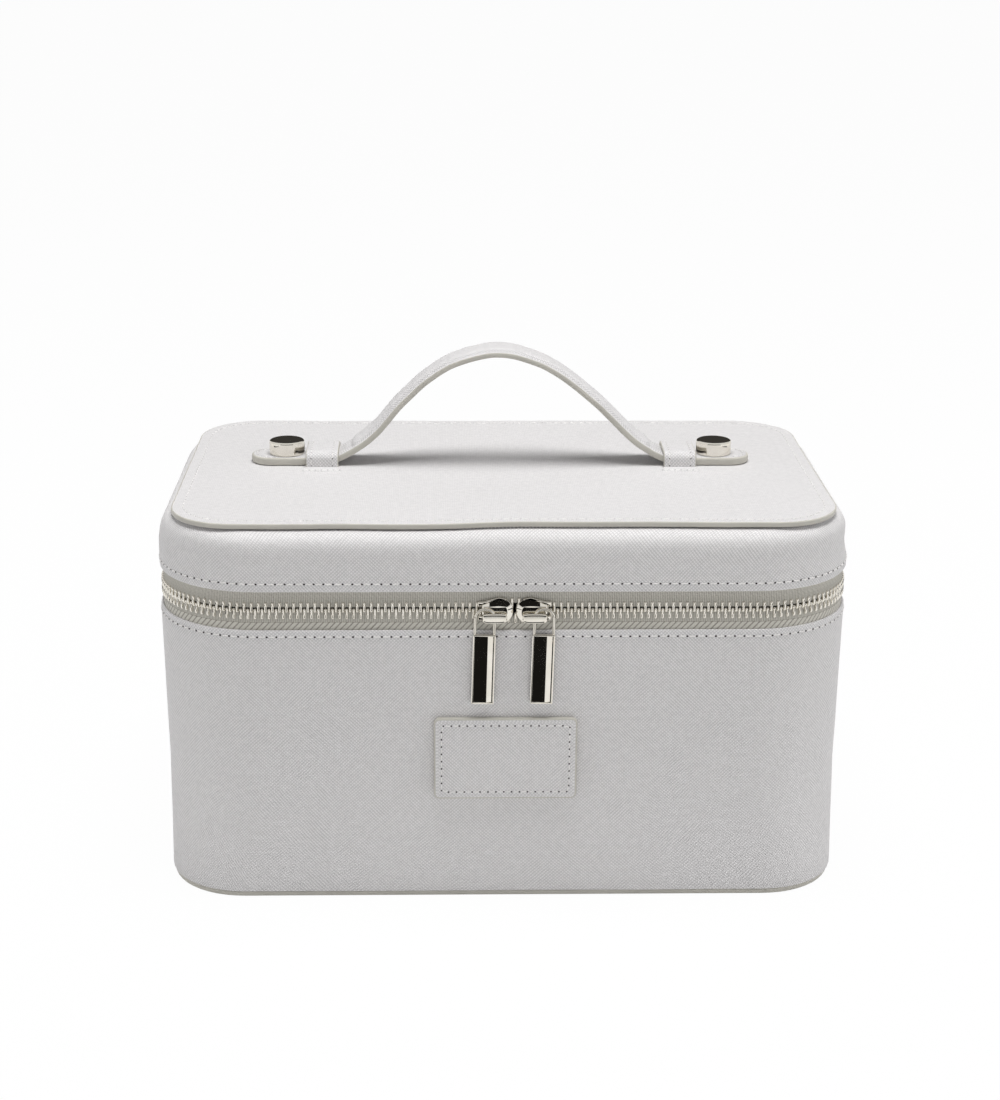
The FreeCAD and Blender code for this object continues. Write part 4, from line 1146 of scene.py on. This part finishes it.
def stud(word, way):
    """A disc: its foot, its side, and the soft rim and flat top that STUD_RIM gives."""
    high = stud_high.z - stud_low.z
    steps = [(0.35, 0.0), (0.05, 0.12), (0.0, 0.4)] + [(inset, high - depth) for inset, depth in STUD_RIM]
    skin = Skin("stud_" + word + "_disc")
    skin.plate(circle((stud_high.x - stud_low.x) / 2, 56), steps)
    return skin.finish([nickel], "handle_end_" + word, ("stud_" + word,), "hardware", mirror=way < 0,
                       matrix=Matrix.Translation(((stud_high.x + stud_low.x) / 2, STRAP_Y, stud_low.z)))


for side in SIDES:
    stud(*side)

# %% [markdown]
# ## Stitches
# A machine stitch is a short length of thread that dives into a needle hole at each end. From a
# little way off the holes show as dark dots at an even step, with a faint pale line between them.
# So each stitch gets a slim thread that sinks at both ends, each hole a small flat disc painted
# dark as painted shade, and all the stitches of one seam are one object.

# %% Stitches
THREAD_SHAPE = ((0.10, -0.22, 0.5), (0.2, -0.02, 0.9), (0.35, 0.04, 1.0), (0.5, 0.05, 1.0), (0.65, 0.04, 1.0),
                (0.8, -0.02, 0.9), (0.90, -0.22, 0.5))
HOLE_RISE = 0.03


def seam(name, path, normals, body, step=3.35, fat=0.21, hole=0.36):
    """Stitches along a path of points, with the direction that faces away from the leather at each."""
    run = spaced(path, closed=False)
    spots = []
    place = 0
    for distance in even(0, run[-1], max(1, round(run[-1] / step))):
        while place < len(path) - 2 and run[place + 1] < distance:
            place += 1
        share = (distance - run[place]) / max(1e-6, run[place + 1] - run[place])
        spots.append((path[place].lerp(path[place + 1], share),
                      normals[place].lerp(normals[place + 1], share).normalized()))
    skin = Skin(name)
    for (here, up), (there, _) in zip(spots, spots[1:]):
        ahead = (there - here).normalized()
        side = ahead.cross(up).normalized()
        skin.rows([hoop(here.lerp(there, share) + up * rise, fat * girth * side, fat * girth * up, 6)
                   for share, rise, girth in THREAD_SHAPE])
        # The hole is a flat disc painted dark: painted shade.
        ring = hoop(here + up * HOLE_RISE, hole * 1.1 * ahead, hole * side, 8)
        skin.cap([skin.mesh.verts.new(point) for point in ring], 1, flip=True)
    return skin.finish([thread, painted_hole_shade], body)


def wall_seam(name, z, body):
    """A seam that runs all round the case at one height, just outside the leather."""
    rise = 0.03
    flat = outline(HALF_WIDTH - rise, HALF_DEPTH - rise, 37.8, straight=2.0, steps=20)
    path = []
    normals = []
    for before, here, after in zip(flat[-1:] + flat[:-1], flat, flat[1:] + flat[:1]):
        ahead = (after - before).normalized()
        out = Vector((ahead.y, -ahead.x, 0))
        spot = Vector((here.x, here.y, z))
        path.append(spot + out * (waver(spot) + rise))
        normals.append(out)
    return seam(name, path + path[:1], normals + normals[:1], body)


wall_seam("lower_zip_seam", LIP_LOW - 2.4, "base")
wall_seam("upper_zip_seam", LIP_HIGH + 3.1, "lid")

# %% Stitches on the panels
UP = Vector((0, 0, 1))


def level_seam(name, flat, z, body, lifted=lambda x, y: 0.0, **options):
    path = [Vector((p.x, p.y, z + lifted(p.x, p.y))) for p in flat]
    return seam(name, path, [UP] * len(path), body, **options)


panel_loop = outline(panel_high.x - 4.2, panel_high.y - 4.2, 19.8, straight=2.0, steps=16)
level_seam("top_panel_seam", panel_loop + panel_loop[:1], panel_high.z + 0.03, "lid",
           lambda x, y: 0.74 * panel_lift(x, y), step=3.3, fat=0.14, hole=0.15)

patch_loop = small_outline(patch_high.x - 2.7, PATCH_HALF_Z - 2.7, 0.6, steps=3)
patch_path = [on_patch @ Vector((p.x, p.y, PATCH_THICK + 0.05)) for p in patch_loop + patch_loop[:1]]
forward = [Vector((0, -1, 0))] * len(patch_path)
seam("front_patch_seam", patch_path, forward, "base", step=2.8, fat=0.17, hole=0.31)

# %% Stitches on the handle's fastenings
TIP_SEAM = STRAP_HALF - 2.0


def keeper_seams(word, way):
    """Two rows over each keeper, one row on each of its feet and a fine row round the strap's tip."""
    top = keeper_high.z
    low = keeper_low.z
    line = ((-KEEPER_OUT - 0.02, low + 0.6, (-1, 0)), (-KEEPER_OUT - 0.02, top - 1.7, (-1, 0)),
            (0.5 - KEEPER_OUT, top - 0.5, (-0.7, 0.7)), (1.7 - KEEPER_OUT, top + 0.02, (0, 1)),
            (KEEPER_OUT - 1.7, top + 0.02, (0, 1)))
    normals = [Vector((0, *normal)) for _, _, normal in line]
    for number, x in enumerate((keeper_low.x + 2.1, keeper_high.x - 2.0)):
        path = [Vector((way * x, STRAP_Y + y, z)) for y, z, _ in line]
        seam(f"keeper_{word}_seam_{number}", path, normals, "lid", step=2.8, fat=0.14, hole=0.22)
    for number, side in enumerate((-1, 1)):
        y = STRAP_Y + side * (KEEPER_OUT + FOOT_REACH - 1.0)
        row = [Vector((way * (keeper_low.x - 0.8), y)), Vector((way * (keeper_high.x + 0.8), y))]
        level_seam(f"keeper_{word}_foot_seam_{number}", row, low + 0.22, "lid", step=2.3, fat=0.13, hole=0.26)
    tip = [Vector((way * point.x, STRAP_Y + point.y))
           for point in arc((tip_high.x - STRAP_HALF, 0), TIP_SEAM, -75, 75, 24)]
    level_seam(f"strap_end_{word}_seam", tip, STRAP_LOW + STRAP_THICK, f"handle_end_{word}",
               step=2.6, fat=0.12, hole=0.17)


for side in SIDES:
    keeper_seams(*side)

# %% [markdown]
# ## Finishes for the pieces that stay as they are
# The boards, linings, end stops and screws are right as the model has them and only need their
# material: lining cloth for the first two, nickel for the others.

# %% Carried-over pieces
CARRIED_OVER = {lining: ("base_lining", "lid_lining", "base_board", "lid_board"),
                zip_nickel: ("zip_stops_lower", "zip_stops_upper"),
                nickel: ("stud_screw_left", "stud_screw_right")}
for finish, nodes in CARRIED_OVER.items():
    for node in nodes:
        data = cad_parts[node].data
        data.materials.clear()
        data.materials.append(finish)
    print(finish.name, "on", ", ".join(nodes))

# %% [markdown]
# ## Floor and cards
# The case stands on white paper that shows nearly pure white to the camera except where the case
# shades it. Dark cards that only mirrors see give the polished pieces something to reflect: one lies
# on the table for the pulls and one on each side for the studs, one stands behind the camera for the
# sliders' bevels, and one at the back for the tops of the studs.

# %% Floor and cards
PAPER_TONE = 0.79
PAPER_SHOWN = 0.97
CARD_HEIGHT = 0.001


def seen_or_mirrored(finish):
    """1 for rays from the camera, from a mirror or through glass, otherwise 0."""
    outputs = finish.node("LightPath").socket.node.outputs
    rays = [Wire(finish, outputs[f"Is {kind} Ray"]) for kind in ("Camera", "Glossy", "Transmission")]
    return (rays[0] + rays[1] + rays[2]).least(1.0)


def paper_finish():
    """White paper that looks nearly pure white and lights the case as paper would."""
    finish = Finish("white_paper")
    matt_side = finish.node("BsdfDiffuse", {}, {"Color": (PAPER_TONE, PAPER_TONE, PAPER_TONE)})
    white = finish.node("Emission", {}, {"Color": (1, 1, 1), "Strength": 1.0})
    shown = seen_or_mirrored(finish) * PAPER_SHOWN
    return finish.output(finish.node("MixShader", {}, {0: shown, 1: matt_side, 2: white}))


def dark_finish(name, level):
    """A warm black that gives off a little light of its own."""
    finish = Finish(name)
    glow = {"Color": (level, level * 0.95, level * 0.88), "Strength": 1.0}
    return finish.output(finish.node("Emission", {}, glow))


def sheet_of(name, corners, finish):
    data = bpy.data.meshes.new(name)
    data.from_pydata([Vector(corner) for corner in corners], [], [(0, 1, 2, 3)])
    data.materials.append(finish)
    thing = bpy.data.objects.new(name, data)
    bpy.context.scene.collection.objects.link(thing)
    return thing


def reflection_card(name, corners, level):
    card = sheet_of(name, corners, dark_finish(name + "_black", level))
    card.visible_camera = card.visible_diffuse = card.visible_shadow = False
    card.visible_transmission = card.visible_volume_scatter = False


def lying(left, right, near, far, z=CARD_HEIGHT):
    return [(left, near, z), (right, near, z), (right, far, z), (left, far, z)]


def standing(y, half, low, high):
    return [(-half, y, low), (half, y, low), (half, y, high), (-half, y, high)]


sheet_of("paper_floor", lying(-8, 8, -8, 12, 0), paper_finish())
reflection_card("table_card", lying(-0.12, 0.06, -0.5, -0.2), 0.010)
reflection_card("left_stud_card", lying(-0.9, -0.42, -0.6, 0.02), 0.010)
reflection_card("right_stud_card", lying(0.42, 0.9, -0.6, 0.02), 0.010)
reflection_card("camera_card", standing(-1.2, 1.2, 0.36, 1.4), 0.012)
reflection_card("back_card", standing(1.2, 0.7, 0.2, 0.95), 0.045)

# %% [markdown]
# ## Light
# A big soft light hangs over the case, and weaker ones stand in front and on both sides, so that the
# top is the brightest face. Mirrors don't see them. The levels are set so that a colour renders about
# as it is written.

# %% Light
def softbox(name, spot, target_height, size, power):
    """A rectangular lamp that is aimed at the case's middle and that mirrors don't see."""
    data = bpy.data.lights.new(name, "AREA")
    data.shape = "RECTANGLE"
    data.size, data.size_y = size
    data.energy = power
    lamp = bpy.data.objects.new(name, data)
    lamp.location = spot
    lamp.visible_glossy = False
    lamp.rotation_euler = (Vector((0, 0, target_height)) - Vector(spot)).to_track_quat("-Z", "Y").to_euler()
    bpy.context.scene.collection.objects.link(lamp)


def white_room(level, mirrored):
    """A world that lights at one level, has another in mirrors and looks pure white."""
    world = bpy.data.worlds.new("white_room")
    finish = Finish("white_room", world)
    seen = Wire(finish, finish.node("LightPath").socket.node.outputs["Is Camera Ray"])
    strength = seen_or_mirrored(finish) * (mirrored - level) + seen * (1 - mirrored) + level
    finish.output(finish.node("Background", {}, {"Color": (1, 1, 1), "Strength": strength}), "OutputWorld")
    bpy.context.scene.world = world


softbox("top_softbox", (0.05, -0.1, 1.5), 0.1, (0.9, 0.7), 22.5)
softbox("front_softbox", (0.2, -1.8, 0.4), 0.08, (1.6, 0.6), 4.2)
softbox("right_softbox", (1.7, -0.4, 0.45), 0.08, (1.2, 0.7), 7)
softbox("left_softbox", (-1.8, -0.3, 0.45), 0.08, (1.0, 0.6), 6.5)
white_room(0.18, 0.8)
bpy.context.scene.view_settings.view_transform = "Standard"
print("light and floor are set")
